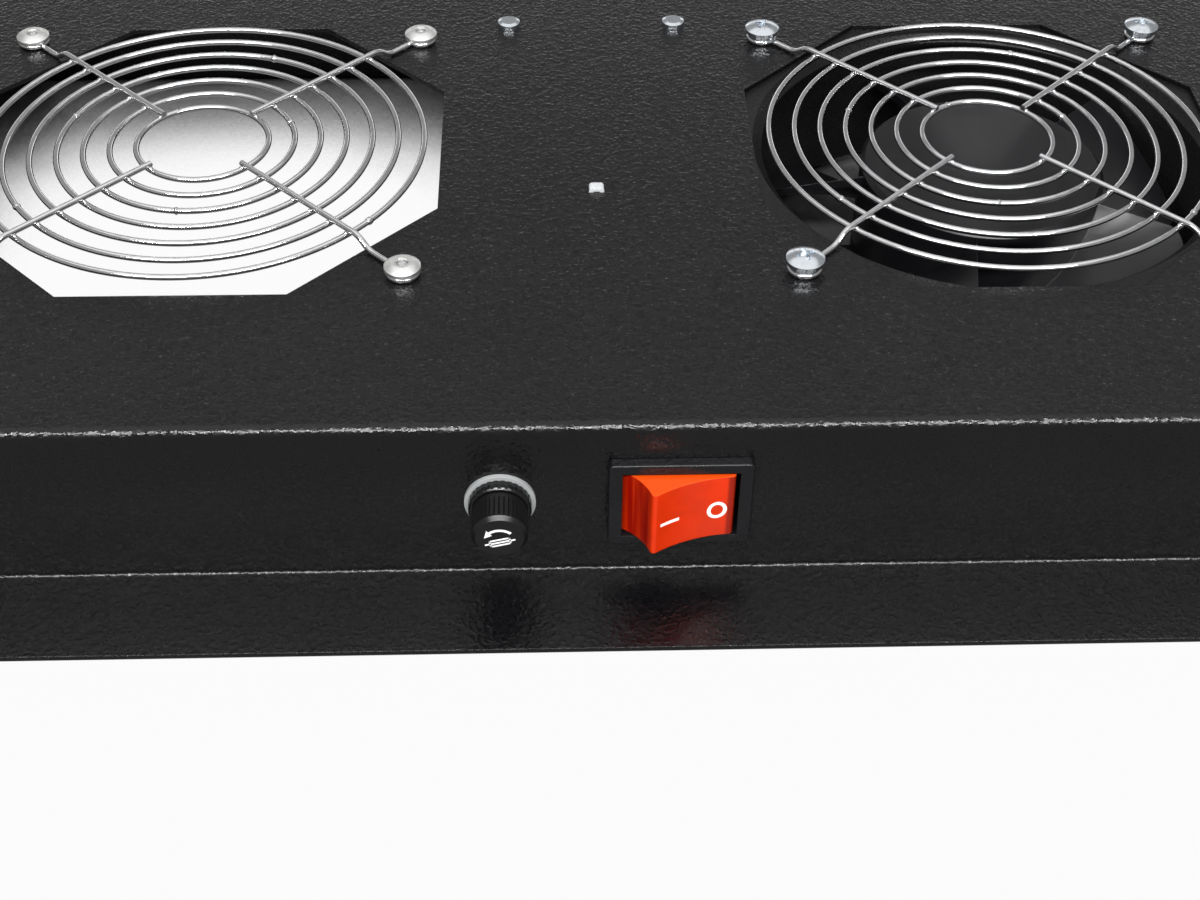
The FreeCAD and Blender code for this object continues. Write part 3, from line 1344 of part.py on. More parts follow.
def make_fuse_insert():
    """Spring carrier, glass tube and metal ends: what is drawn out with the cap."""
    seat = dict(**on_front(size["fuse_x"]), rotation=INTO_TRAY)
    fuse_front = -cap_root + size["carrier_floor"] + size["seat_gap"]
    fuse_back = fuse_front + size["fuse_length"]
    make_turned(
        "Carrier",
        "fuse_carrier",
        [
            (ZERO, -cap_root + size["seat_gap"]),
            (size["carrier_radius"], -cap_root + size["seat_gap"]),
            (size["carrier_radius"], -cap_root + size["carrier_length"]),
            (size["fuse_radius"] + size["cup_fit"], -cap_root + size["carrier_length"]),
            (size["fuse_radius"] + size["cup_fit"], -cap_root + size["carrier_floor"]),
            (ZERO, -cap_root + size["carrier_floor"]),
        ],
        **seat,
    )
    end_cap = make_turned(
        "FuseEnd",
        None,
        [
            (ZERO, ZERO),
            (size["fuse_radius"], ZERO),
            (size["fuse_radius"], size["fuse_cap_length"]),
            (glass_radius, size["fuse_cap_length"]),
            (glass_radius, size["fuse_end_wall"]),
            (ZERO, size["fuse_end_wall"]),
        ],
    )
    flip = INTO_TRAY.multiply(Rotation(X_AXIS, 180))
    group(
        "fuse_end_caps",
        end_cap,
        [
            (size["fuse_x"], -half_depth + fuse_front, size["control_height"]),
            (size["fuse_x"], -half_depth + fuse_back, size["control_height"]),
        ],
        [INTO_TRAY, flip],
    )
    make_turned(
        "FuseGlass",
        "fuse_glass",
        [
            (ZERO, fuse_front + size["fuse_end_wall"]),
            (glass_radius, fuse_front + size["fuse_end_wall"]),
            (glass_radius, fuse_back - size["fuse_end_wall"]),
            (ZERO, fuse_back - size["fuse_end_wall"]),
        ],
        **seat,
    )


def make_fuse_mounting():
    """Washer outside the wall, nut inside, and the two blades of the holder."""
    seat = dict(**on_front(size["fuse_x"]), rotation=INTO_TRAY)
    hole = size["fuse_barrel_radius"] + size["thread_fit"]
    make_turned(
        "Gasket",
        "fuse_washer",
        ring_points(hole, size["gasket_radius"], -gasket_face, -size["seat_gap"]),
        **seat,
    )
    nut = new_body("FuseNut")
    ring = new_sketch(nut, "FuseNutRing", "XY_Plane", size["sheet"] + size["seat_gap"])
    hexagon(ring, ZERO, ZERO, size["fuse_nut_across"])
    circle(ring, ZERO, ZERO, hole)
    pad(nut, ring, size["fuse_nut_height"])
    place(nut, **seat)
    keep(nut, "fuse_nut")
    back = -half_depth + size["fuse_barrel_length"]
    side_turn = Rotation(Y_AXIS, 90)
    group(
        "fuse_terminals",
        terminal_blade,
        [
            (size["fuse_x"], back, size["control_height"]),
            (fuse_side_x, back - size["fuse_step"], size["control_height"]),
        ],
        [Rotation(), side_turn],
    )


glass_radius = size["fuse_radius"] - size["fuse_end_wall"]
fuse_side_x = size["fuse_x"] - size["fuse_barrel_radius"] + size["terminal_thick"] / 2 + size["seat_gap"]
make_fuse_holder()
make_fuse_cap()
make_fuse_insert()
make_fuse_mounting()


# --------------------------------------------------------------------------------------
# Cable gland in the rear wall, terminal block, earth stud and cable tie
# --------------------------------------------------------------------------------------
OUT_OF_REAR = Rotation(X_AXIS, -90)


def make_gland():
    """Threaded body, cap nut, rubber seal and locknut, empty of its cord."""
    seat = dict(x=size["gland_x"], y=half_depth, z=size["gland_height"], rotation=OUT_OF_REAR)
    thread, bore = size["gland_thread_radius"], size["gland_bore_radius"]
    body_low = size["seat_gap"]
    body_high = body_low + size["gland_body_length"]
    cap_low = body_high + size["cap_gap"]
    cap_high = cap_low + size["gland_cap_length"]

    frame = new_body("GlandBody")
    stub = new_sketch(frame, "GlandStub", "XY_Plane", -size["gland_thread_in"])
    circle(stub, ZERO, ZERO, thread)
    pad(frame, stub, size["gland_thread_in"] + cap_high - size["gland_crown"])
    flange = new_sketch(frame, "GlandHex", "XY_Plane", body_low)
    hexagon(flange, ZERO, ZERO, size["gland_across"])
    pad(frame, flange, size["gland_body_length"])
    hole = new_sketch(frame, "GlandBore", "XY_Plane", cap_high)
    circle(hole, ZERO, ZERO, size["seal_radius"])
    pocket(frame, hole, cap_high + size["gland_thread_in"])
    place(frame, **seat)
    keep(frame, "gland_body")

    cap = new_body("GlandCap")
    shell = new_sketch(cap, "GlandCapHex", "XY_Plane", cap_low)
    hexagon(shell, ZERO, ZERO, size["gland_across"])
    pad(cap, shell, size["gland_cap_length"])
    round_over = new_sketch(cap, "GlandCrown", "XZ_Plane")
    edge = size["gland_across"] / math.sqrt(3)
    outline(
        round_over,
        [
            (edge * 1.2, cap_high - size["gland_crown"] * 2),
            (edge * 1.2, cap_high + size["gland_crown"]),
            (bore + size["gland_crown"], cap_high + size["gland_crown"]),
            (bore + size["gland_crown"], cap_high),
            (edge, cap_high - size["gland_crown"] * 2),
        ],
    )
    groove(cap, round_over)
    room = new_sketch(cap, "GlandCapRoom", "XY_Plane", cap_high - size["gland_crown"] + size["seat_gap"])
    circle(room, ZERO, ZERO, thread + size["thread_fit"])
    pocket(cap, room, size["gland_cap_length"])
    mouth = new_sketch(cap, "GlandMouth", "XY_Plane", cap_high)
    circle(mouth, ZERO, ZERO, bore)
    pocket(cap, mouth, size["gland_crown"] * 2)
    place(cap, **seat)
    keep(cap, "gland_cap")

    make_turned(
        "GlandSeal",
        "gland_seal",
        ring_points(
            bore,
            size["seal_radius"] - size["thread_fit"],
            body_low,
            cap_high - size["gland_crown"],
        ),
        **seat,
    )
    nut = new_body("GlandNut")
    nut_end = size["sheet"] + size["seat_gap"] + size["gland_nut_height"]
    ring = new_sketch(nut, "GlandNutRing", "XY_Plane", -nut_end)
    hexagon(ring, ZERO, ZERO, size["gland_nut_across"])
    circle(ring, ZERO, ZERO, thread + size["thread_fit"])
    pad(nut, ring, size["gland_nut_height"])
    place(nut, **seat)
    keep(nut, "gland_locknut")


def pole_x(index):
    return (index - (size["pole_count"] - 1) / 2) * size["pole_pitch"]


def make_terminal_block():
    """Strip of clamping poles joined by lower saddles, with through ways for the wires."""
    body = new_body("TerminalBlock")
    count = int(size["pole_count"].value)
    mid_low = under_top_z - size["seat_gap"] - size["block_mid_tall"]
    saddle = new_sketch(body, "Saddle", "XY_Plane", mid_low)
    box_outline(
        saddle, ZERO, block_y, 2 * block_screw_x + size["block_ear"], size["block_deep"]
    )
    for x, y in block_screw_places:
        circle(saddle, x, y, size["block_screw_radius"] + size["screw_play"])
    pad(body, saddle, size["block_mid_tall"])
    poles = new_sketch(body, "Poles", "XY_Plane", block_low_z)
    for index in range(count):
        box_outline(poles, pole_x(index), block_y, size["pole_width"], size["block_deep"])
    pad(body, poles, size["block_tall"])
    ways = new_sketch(body, "WireWays", "XZ_Plane", -block_y - size["block_deep"] / 2)
    for index in range(count):
        circle(ways, pole_x(index), wire_way_z, size["insert_radius"])
    pocket(body, ways, size["block_deep"], reverse=True)
    wells = new_sketch(body, "ClampWells", "XY_Plane", block_low_z)
    for index in range(count):
        for sy in (-1, 1):
            circle(wells, pole_x(index), block_y + sy * clamp_y, size["clamp_radius"] + size["screw_play"])
    pocket(body, wells, wire_way_z - block_low_z, reverse=True)
    return keep(body, "terminal_block")


def make_block_metal():
    """Brass inserts and clamp screws of the poles, and the two screws that hold the block."""
    insert = new_body("Insert")
    tube = new_sketch(insert, "InsertRing", "XZ_Plane")
    circle(tube, ZERO, ZERO, size["insert_radius"] - size["thread_fit"])
    circle(tube, ZERO, ZERO, size["cable_radius"] + size["screw_play"])
    pad(insert, tube, size["block_deep"] - 2 * size["insert_drop"], middle=True)
    count = int(size["pole_count"].value)
    group(
        "terminal_inserts",
        insert,
        [(pole_x(index), block_y, wire_way_z) for index in range(count)],
    )
    screw = new_body("ClampScrew")
    shank = new_sketch(screw, "ClampShank", "XY_Plane")
    circle(shank, ZERO, ZERO, size["clamp_radius"])
    pad(screw, shank, wire_way_z - size["insert_radius"] - block_low_z - size["insert_drop"])
    slot = new_sketch(screw, "ClampSlot", "XY_Plane")
    box_outline(slot, ZERO, ZERO, 3 * size["clamp_radius"], size["recess_width"])
    pocket(screw, slot, size["recess_width"], reverse=True)
    places = [
        (pole_x(index), block_y + sy * clamp_y, block_low_z + size["insert_drop"])
        for index in range(count)
        for sy in (-1, 1)
    ]
    group("terminal_clamp_screws", screw, places)
    holder = new_body("BlockScrew")
    profile = new_sketch(holder, "BlockScrewProfile", "XZ_Plane")
    radius = size["block_screw_radius"]
    clamped = size["sheet"] + size["block_mid_tall"] + size["block_nut_height"]
    length = clamped + size["screw_tip"] + 3 * size["seat_gap"]
    outline(
        profile,
        [
            (ZERO, -length),
            (radius, -length),
            (radius, ZERO),
            (radius * 2, ZERO),
            (radius * 2, radius),
            (radius * 1.4, radius * 1.25),
            (ZERO, radius * 1.25),
        ],
    )
    revolve(holder, profile)
    head_z = top_z + size["seat_gap"]
    group("block_screws", holder, [(x, y, head_z) for x, y in block_screw_places])
    nut = new_body("BlockNut")
    ring = new_sketch(nut, "BlockNutRing", "XY_Plane")
    hexagon(ring, ZERO, ZERO, size["block_nut_across"], turn=30)
    circle(ring, ZERO, ZERO, radius + size["thread_fit"])
    pad(nut, ring, size["block_nut_height"])
    nut_z = under_top_z - 2 * size["seat_gap"] - size["block_mid_tall"] - size["block_nut_height"]
    group("block_nuts", nut, [(x, y, nut_z) for x, y in block_screw_places])


def make_cable_tie():
    """A strap that loops through two slots round the wires, with its locking head below."""
    body = new_body("CableTie")
    thick, wide, under = size["tie_thick"], size["tie_width"], under_top_z - size["seat_gap"]
    high, spread = top_z + size["seat_gap"] + thick, under - size["tie_drop"]
    low = spread - size["tie_span"] - thick
    bridge, outer = size["tie_bridge"] / 2, size["tie_span"] / 2 + thick
    loop = new_sketch(body, "StrapLoop", "XZ_Plane")
    for skin in (ZERO, thick):
        right = [
            (outer - skin, low + skin),
            (outer - skin, spread),
            (bridge - skin, under),
            (bridge - skin, high - skin),
        ]
        outline(loop, right + [(-x, z) for x, z in reversed(right)])
    strap = pad(body, loop, wide, middle=True)

    def outer_corner(edge):
        middle = edge.CenterOfMass
        bottom = near(abs(middle.x), outer) and near(middle.z, low)
        top = near(abs(middle.x), bridge) and near(middle.z, high)
        return along(edge, Y_AXIS) and (bottom or top)

    fillet(body, strap, thick * 0.8, outer_corner)
    head = new_sketch(body, "TieHead", "XZ_Plane")
    side = size["tie_head"]
    box_outline(head, outer + side / 2 - thick / 2, low + side / 2, side, side)
    pad(body, head, side, middle=True)
    place(body, size["tie_x"], size["tie_y"], ZERO)
    return keep(body, "cable_tie")


def make_earth_point():
    """Welded stud under the top with a toothed washer and a nut."""
    seat = dict(x=ZERO, y=stud_y, z=ZERO)
    stud_top = under_top_z - size["seat_gap"]
    make_turned(
        "EarthStud",
        "earth_stud",
        [
            (ZERO, stud_top - size["stud_length"]),
            (size["stud_radius"], stud_top - size["stud_length"]),
            (size["stud_radius"], stud_top - size["stud_root"]),
            (size["stud_radius"] * 1.3, stud_top),
            (ZERO, stud_top),
        ],
        **seat,
    )
    lug_z = stud_top - size["stud_root"] - size["terminal_thick"]
    lug = new_body("EarthLug")
    ring = new_sketch(lug, "EarthLugRing", "XY_Plane", lug_z)
    eye = size["stud_radius"] * 2
    stem = size["cable_radius"]
    outline(
        ring,
        [(-eye, eye), (-eye, -eye), (-stem, -lug_reach), (stem, -lug_reach), (eye, -eye), (eye, eye)],
        arcs={5: (eye * 1.2, 1)},
    )
    circle(ring, ZERO, ZERO, size["stud_radius"] + size["thread_fit"])
    pad(lug, ring, size["terminal_thick"])
    place(lug, **seat)
    keep(lug, "earth_lug")
    washer = new_body("EarthWasher")
    washer_z = lug_z - size["seat_gap"] - size["lock_washer_thick"]
    disc = new_sketch(washer, "EarthWasherRing", "XY_Plane", washer_z)
    circle(disc, ZERO, ZERO, size["lock_washer_radius"])
    circle(disc, ZERO, ZERO, size["stud_radius"] + size["thread_fit"])
    pad(washer, disc, size["lock_washer_thick"])
    place(washer, **seat)
    keep(washer, "earth_washer")
    nut = new_body("EarthNut")
    nut_top = lug_z - 2 * size["seat_gap"] - size["lock_washer_thick"]
    hexa = new_sketch(nut, "EarthNutRing", "XY_Plane", nut_top - size["nut_height"])
    hexagon(hexa, ZERO, ZERO, size["nut_across"])
    circle(hexa, ZERO, ZERO, size["stud_radius"] + size["thread_fit"])
    pad(nut, hexa, size["nut_height"])
    place(nut, **seat)
    keep(nut, "earth_nut")


block_low_z = under_top_z - size["seat_gap"] - size["block_tall"]
wire_way_z = under_top_z - size["block_mid_tall"] * 0.5
clamp_y = size["block_deep"] * 0.28
lug_reach = size["stud_radius"] * 2 + size["cable_radius"] * 2
stud_y = half_depth - size["stud_inset"]
make_gland()
make_terminal_block()
make_block_metal()
make_cable_tie()
make_earth_point()


# --------------------------------------------------------------------------------------
# Fan terminals, push-on receptacles and the internal wires
# --------------------------------------------------------------------------------------
OUT_OF_FAN = Rotation(Z_AXIS, 90)
carrier_place = (fan_barrel_radius + size["carrier_side"] * 0.5) / math.sqrt(2)
fan_blade_x = fan_bay_x - carrier_place - size["carrier_side"] / 2


def make_fan_terminals():
    """A small moulded carrier in a corner of the fan housing, with two blades facing inward."""
    body = new_body("TerminalCarrier")
    block = new_sketch(body, "CarrierBlock", "XY_Plane", size["fan_flange"] + size["seat_gap"])
    box_outline(block, -carrier_place, carrier_place, size["carrier_side"], size["carrier_side"])
    pad(body, block, size["carrier_tall"] - size["fan_flange"])
    round_cut = new_sketch(body, "CarrierSeat", "XY_Plane", size["carrier_tall"] + size["fan_flange"])
    circle(round_cut, ZERO, ZERO, fan_barrel_radius + size["seat_gap"])
    pocket(body, round_cut, size["carrier_tall"] + size["fan_flange"])
    place(body, fan_bay_x, ZERO, fan_bottom_z)
    keep(body, "fan_terminal_carrier")
    group(
        "fan_terminals",
        terminal_blade,
        [(fan_blade_x, carrier_place, fan_blade_z(step)) for step in (0, 1)],
        [OUT_OF_FAN] * 2,
    )


def fan_blade_z(step):
    return fan_bottom_z + size["fan_terminal_low"] + step * size["fan_terminal_step"]


def make_receptacle():
    """A push-on receptacle that grips a blade; open at the front and closed at the wire."""
    body = new_body("Receptacle")
    wall, fit = size["receptacle_wall"], size["receptacle_fit"]
    wide = size["terminal_width"] + 2 * (fit + wall)
    tall = size["terminal_thick"] + 2 * (fit + wall)
    block = new_sketch(body, "Sleeve", "XZ_Plane", -size["receptacle_start"])
    box_outline(block, ZERO, ZERO, wide, tall)
    pad(body, block, size["receptacle_length"], reverse=True)
    slot = new_sketch(body, "SleeveSlot", "XZ_Plane", -size["receptacle_start"])
    box_outline(slot, ZERO, ZERO, wide - 2 * wall, tall - 2 * wall)
    pocket(body, slot, size["terminal_length"] - size["receptacle_start"] + fit)
    return body


def switch_blade(sx, sz):
    return (
        size["switch_x"] + sx * size["terminal_x"],
        switch_back_y,
        size["control_height"] + sz * size["terminal_z"],
    )


fuse_back_y = -half_depth + size["fuse_barrel_length"]
fuse_end_blade = (size["fuse_x"], fuse_back_y, size["control_height"])
fuse_side_blade = (fuse_side_x, fuse_back_y - size["fuse_step"], size["control_height"])
wire_start = size["receptacle_start"] + size["receptacle_length"] + size["seat_gap"]


def make_receptacles(receptacle):
    front = [switch_blade(sx, sz) for sx in (-1, 1) for sz in (-1, 1)]
    turns = [Rotation()] * 4
    front += [fuse_end_blade, fuse_side_blade]
    turns += [Rotation(), Rotation(Y_AXIS, 90)]
    front += [(fan_blade_x, carrier_place, fan_blade_z(step)) for step in (0, 1)]
    turns += [OUT_OF_FAN] * 2
    group("wire_receptacles", receptacle, front, turns)


def behind(blade):
    """Where a wire leaves the receptacle on a blade that points into the tray."""
    return (blade[0], blade[1] + wire_start, blade[2])


def wire(label, route):
    """A round insulated wire along straight runs joined by tangent arcs."""
    points = [Vector(float(x), float(y), float(z)) for x, y, z in route]
    radius = float(size["cable_radius"])
    edges, start = [], points[0]
    length = 0.0
    for before, corner, after in zip(points, points[1:], points[2:]):
        into, out = (corner - before).normalize(), (after - corner).normalize()
        reach = 0.45 * min((corner - before).Length, (after - corner).Length)
        half_turn = into.getAngle(out) / 2
        bend = reach / math.tan(half_turn)
        a, b = corner - into * reach, corner + out * reach
        inward = (out - into).normalize()
        centre = corner + inward * (bend / math.cos(half_turn))
        middle = centre - inward * bend
        edges.append(Part.LineSegment(start, a).toShape())
        edges.append(Part.Arc(a, middle, b).toShape())
        length += (a - start).Length + 2 * half_turn * bend
        start = b
    edges.append(Part.LineSegment(start, points[-1]).toShape())
    length += (points[-1] - start).Length
    path = Part.Wire(edges)
    section = Part.Wire(Part.Circle(points[0], (points[1] - points[0]).normalize(), radius).toShape())
    body = path.makePipeShell([section], True, False)
    expected = math.pi * radius**2 * length
    if abs(body.Volume - expected) > 0.01 * expected:
        raise RuntimeError(f"{label} has the wrong volume")
    feature = doc.addObject("Part::Feature", label)
    feature.Shape = body
    return keep(feature, label)


def make_wires():
    """The tray's own wiring, which ends at the terminal block."""
    block_front = block_y - size["block_deep"] / 2 + size["insert_drop"]
    block_rear = block_y + size["block_deep"] / 2 - size["insert_drop"]
    stack = size["cable_radius"] + size["stack_gap"] / 2
    upper = under_top_z - size["seat_gap"] - size["tie_drop"] - size["cable_radius"]
    lower = upper - 2 * stack
    tie_y = size["tie_y"]
    line, neutral, earth, fan_line, fan_neutral = (pole_x(i) for i in range(5))

    def from_block(pole, side, level, join):
        return [
            (pole, block_front, wire_way_z),
            (pole, block_front - size["block_lead"], wire_way_z),
            (size["tie_x"] + side * stack, tie_y + join, level),
        ]

    def to_blade(side, level, leave, end, lead):
        return [
            (size["tie_x"] + side * stack, tie_y - leave, level),
            (end[0], end[1] + lead, end[2]),
            end,
        ]

    join, leave, lead = size["bundle_join"], size["bundle_leave"], size["switch_lead"]
    far_join, soon_leave = join + size["bundle_join_step"], leave - size["bundle_leave_step"]
    route = from_block(line, -1, upper, join)
    wire("wire_line_in", route + to_blade(-1, upper, leave, behind(fuse_end_blade), size["fuse_lead"]))
    route = from_block(neutral, -1, lower, far_join)
    wire("wire_neutral_in", route + to_blade(-1, lower, soon_leave, behind(switch_blade(-1, -1)), lead))
    route = from_block(fan_line, 1, upper, far_join)
    wire("wire_line_out", route + to_blade(1, upper, leave, behind(switch_blade(1, 1)), lead))
    route = from_block(fan_neutral, 1, lower, join)
    end, long_lead = behind(switch_blade(1, -1)), lead + size["switch_lead_step"]
    wire("wire_neutral_out", route + to_blade(1, lower, soon_leave, end, long_lead))

    side, key = behind(fuse_side_blade), behind(switch_blade(-1, 1))
    route = [side, (side[0], side[1] + size["link_lead"], side[2]), (key[0], key[1] + lead, key[2]), key]
    wire("wire_fuse_to_switch", route)

    tail_x = fan_blade_x - wire_start
    for label, pole, step in (("wire_fan_neutral", fan_neutral, 0), ("wire_fan_line", fan_line, 1)):
        loop_x = size["fan_loop_x"] + step * size["fan_loop_step"]
        loop_y = block_rear + (step + 1) * size["fan_loop_back"]
        end = (tail_x, carrier_place, fan_blade_z(step))
        loop_z = (wire_way_z + end[2]) / 2 + size["fan_loop_rise"]
        wire(
            label,
            [
                (pole, block_rear, wire_way_z),
                (pole, loop_y, wire_way_z),
                (loop_x, loop_y, loop_z),
                (loop_x, end[1], end[2]),
                end,
            ],
        )

    lug_y = stud_y - lug_reach - size["seat_gap"]
    lug_mid_z = under_top_z - size["seat_gap"] - size["stud_root"] - size["terminal_thick"] / 2
    third = (lug_y - block_rear) / 3
    wire(
        "wire_earth",
        [
            (earth, block_rear, wire_way_z),
            (earth, block_rear + third, wire_way_z),
            (earth, lug_y - third, lug_mid_z),
            (earth, lug_y, lug_mid_z),
        ],
    )


make_fan_terminals()
make_receptacles(make_receptacle())
make_wires()


# --------------------------------------------------------------------------------------
# Checks and export
# --------------------------------------------------------------------------------------
doc.recompute()
for obj in doc.Objects:
    if "Invalid" in obj.State or "Error" in obj.State:
        raise RuntimeError(f"{obj.Name} failed: {obj.State}")
for obj in subparts:
    if obj.Shape.isNull() or not obj.Shape.isValid() or not obj.Shape.Solids:
        raise RuntimeError(f"{obj.Label} has no sound solid")
    if obj.TypeId == "PartDesign::Body" and len(obj.Shape.Solids) != 1:
        raise RuntimeError(f"{obj.Label} isn't in one piece")

os.makedirs("parts", exist_ok=True)
for obj in subparts:
    obj.Shape.exportStep(os.path.join("parts", f"{obj.Label}.step"))
print(f"{len(subparts)} sub-parts written")
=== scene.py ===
"""Rack fan tray: the finishes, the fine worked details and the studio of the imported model.

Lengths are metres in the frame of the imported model: X along the front wall, Y towards the rear wall, Z up.
"""

import json
import logging
import math
from collections.abc import Iterable, Mapping, Sequence
from dataclasses import dataclass, field
from enum import Enum
import bpy  # noqa: E402
from mathutils import Matrix, Vector  # noqa: E402


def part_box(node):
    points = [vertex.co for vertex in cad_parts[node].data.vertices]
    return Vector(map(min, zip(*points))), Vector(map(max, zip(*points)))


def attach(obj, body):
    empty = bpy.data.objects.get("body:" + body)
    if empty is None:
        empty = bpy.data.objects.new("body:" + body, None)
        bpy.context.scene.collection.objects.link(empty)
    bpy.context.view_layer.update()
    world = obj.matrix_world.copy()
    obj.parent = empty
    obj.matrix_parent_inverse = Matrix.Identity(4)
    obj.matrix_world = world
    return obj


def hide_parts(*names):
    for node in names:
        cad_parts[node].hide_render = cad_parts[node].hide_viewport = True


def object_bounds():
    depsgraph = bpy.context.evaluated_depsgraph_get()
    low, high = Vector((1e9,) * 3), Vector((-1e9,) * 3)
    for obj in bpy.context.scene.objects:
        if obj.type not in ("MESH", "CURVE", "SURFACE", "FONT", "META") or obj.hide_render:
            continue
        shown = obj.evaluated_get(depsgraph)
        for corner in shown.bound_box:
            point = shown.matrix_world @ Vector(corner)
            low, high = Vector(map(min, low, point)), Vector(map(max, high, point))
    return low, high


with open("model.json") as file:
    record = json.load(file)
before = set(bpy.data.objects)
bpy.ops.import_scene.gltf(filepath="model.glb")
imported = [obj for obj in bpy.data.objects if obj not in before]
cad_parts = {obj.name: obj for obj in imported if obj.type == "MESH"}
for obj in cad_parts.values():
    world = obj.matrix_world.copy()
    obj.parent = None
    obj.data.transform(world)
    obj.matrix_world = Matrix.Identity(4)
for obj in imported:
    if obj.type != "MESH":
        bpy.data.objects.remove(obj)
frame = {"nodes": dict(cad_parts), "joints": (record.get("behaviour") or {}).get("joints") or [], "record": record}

MM = 0.001
CAD_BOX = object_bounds()
log = logging.getLogger("fan_tray")

Colour = tuple[float, float, float]
Place = tuple[float, float, float]
Line = Sequence[tuple[float, float]]


class Body(Enum):
    """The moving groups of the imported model."""

    TRAY = "tray"
    ROTOR = "fan_rotor"
    ROCKER = "rocker"
    INSERT = "fuse_insert"
    CAP = "fuse_cap"


# ---------------------------------------------------------------------------------------
# Shader bench
# ---------------------------------------------------------------------------------------
class Signal:
    """One output of a finish's nodes, ready to take part in sums."""

    def __init__(self, bench: "Bench", socket: bpy.types.NodeSocket) -> None:
        """Keeps the output socket and its bench.

        Args:
            bench: The bench that adds the nodes.
            socket: The output that this signal stands for.
        """
        self.bench = bench
        self.socket = socket

    def _sum(self, operation: str, first: "Term", second: "Term") -> "Signal":
        """Adds one Math node on two terms."""
        return self.bench.add("ShaderNodeMath", {"operation": operation}, {0: first, 1: second})

    def __add__(self, other: "Term") -> "Signal":
        """Adds."""
        return self._sum("ADD", self, other)

    def __radd__(self, other: "Term") -> "Signal":
        """Adds, from the right."""
        return self._sum("ADD", other, self)

    def __sub__(self, other: "Term") -> "Signal":
        """Takes away."""
        return self._sum("SUBTRACT", self, other)

    def __rsub__(self, other: "Term") -> "Signal":
        """Takes this signal away from a number."""
        return self._sum("SUBTRACT", other, self)

    def __mul__(self, other: "Term") -> "Signal":
        """Multiplies."""
        return self._sum("MULTIPLY", self, other)

    def __rmul__(self, other: "Term") -> "Signal":
        """Multiplies, from the right."""
        return self._sum("MULTIPLY", other, self)

    def ease(self, low: float, high: float, start: float = 0.0, end: float = 1.0) -> "Signal":
        """Maps this signal smoothly.

        Args:
            low: Where the change starts.
            high: Where the change ends.
            start: The result below low.
            end: The result above high.

        Returns:
            The mapped signal.
        """
        return self.bench.add(
            "ShaderNodeMapRange",
            {"interpolation_type": "SMOOTHSTEP"},
            {"Value": self, "From Min": low, "From Max": high, "To Min": start, "To Max": end},
        )


Term = Signal | float


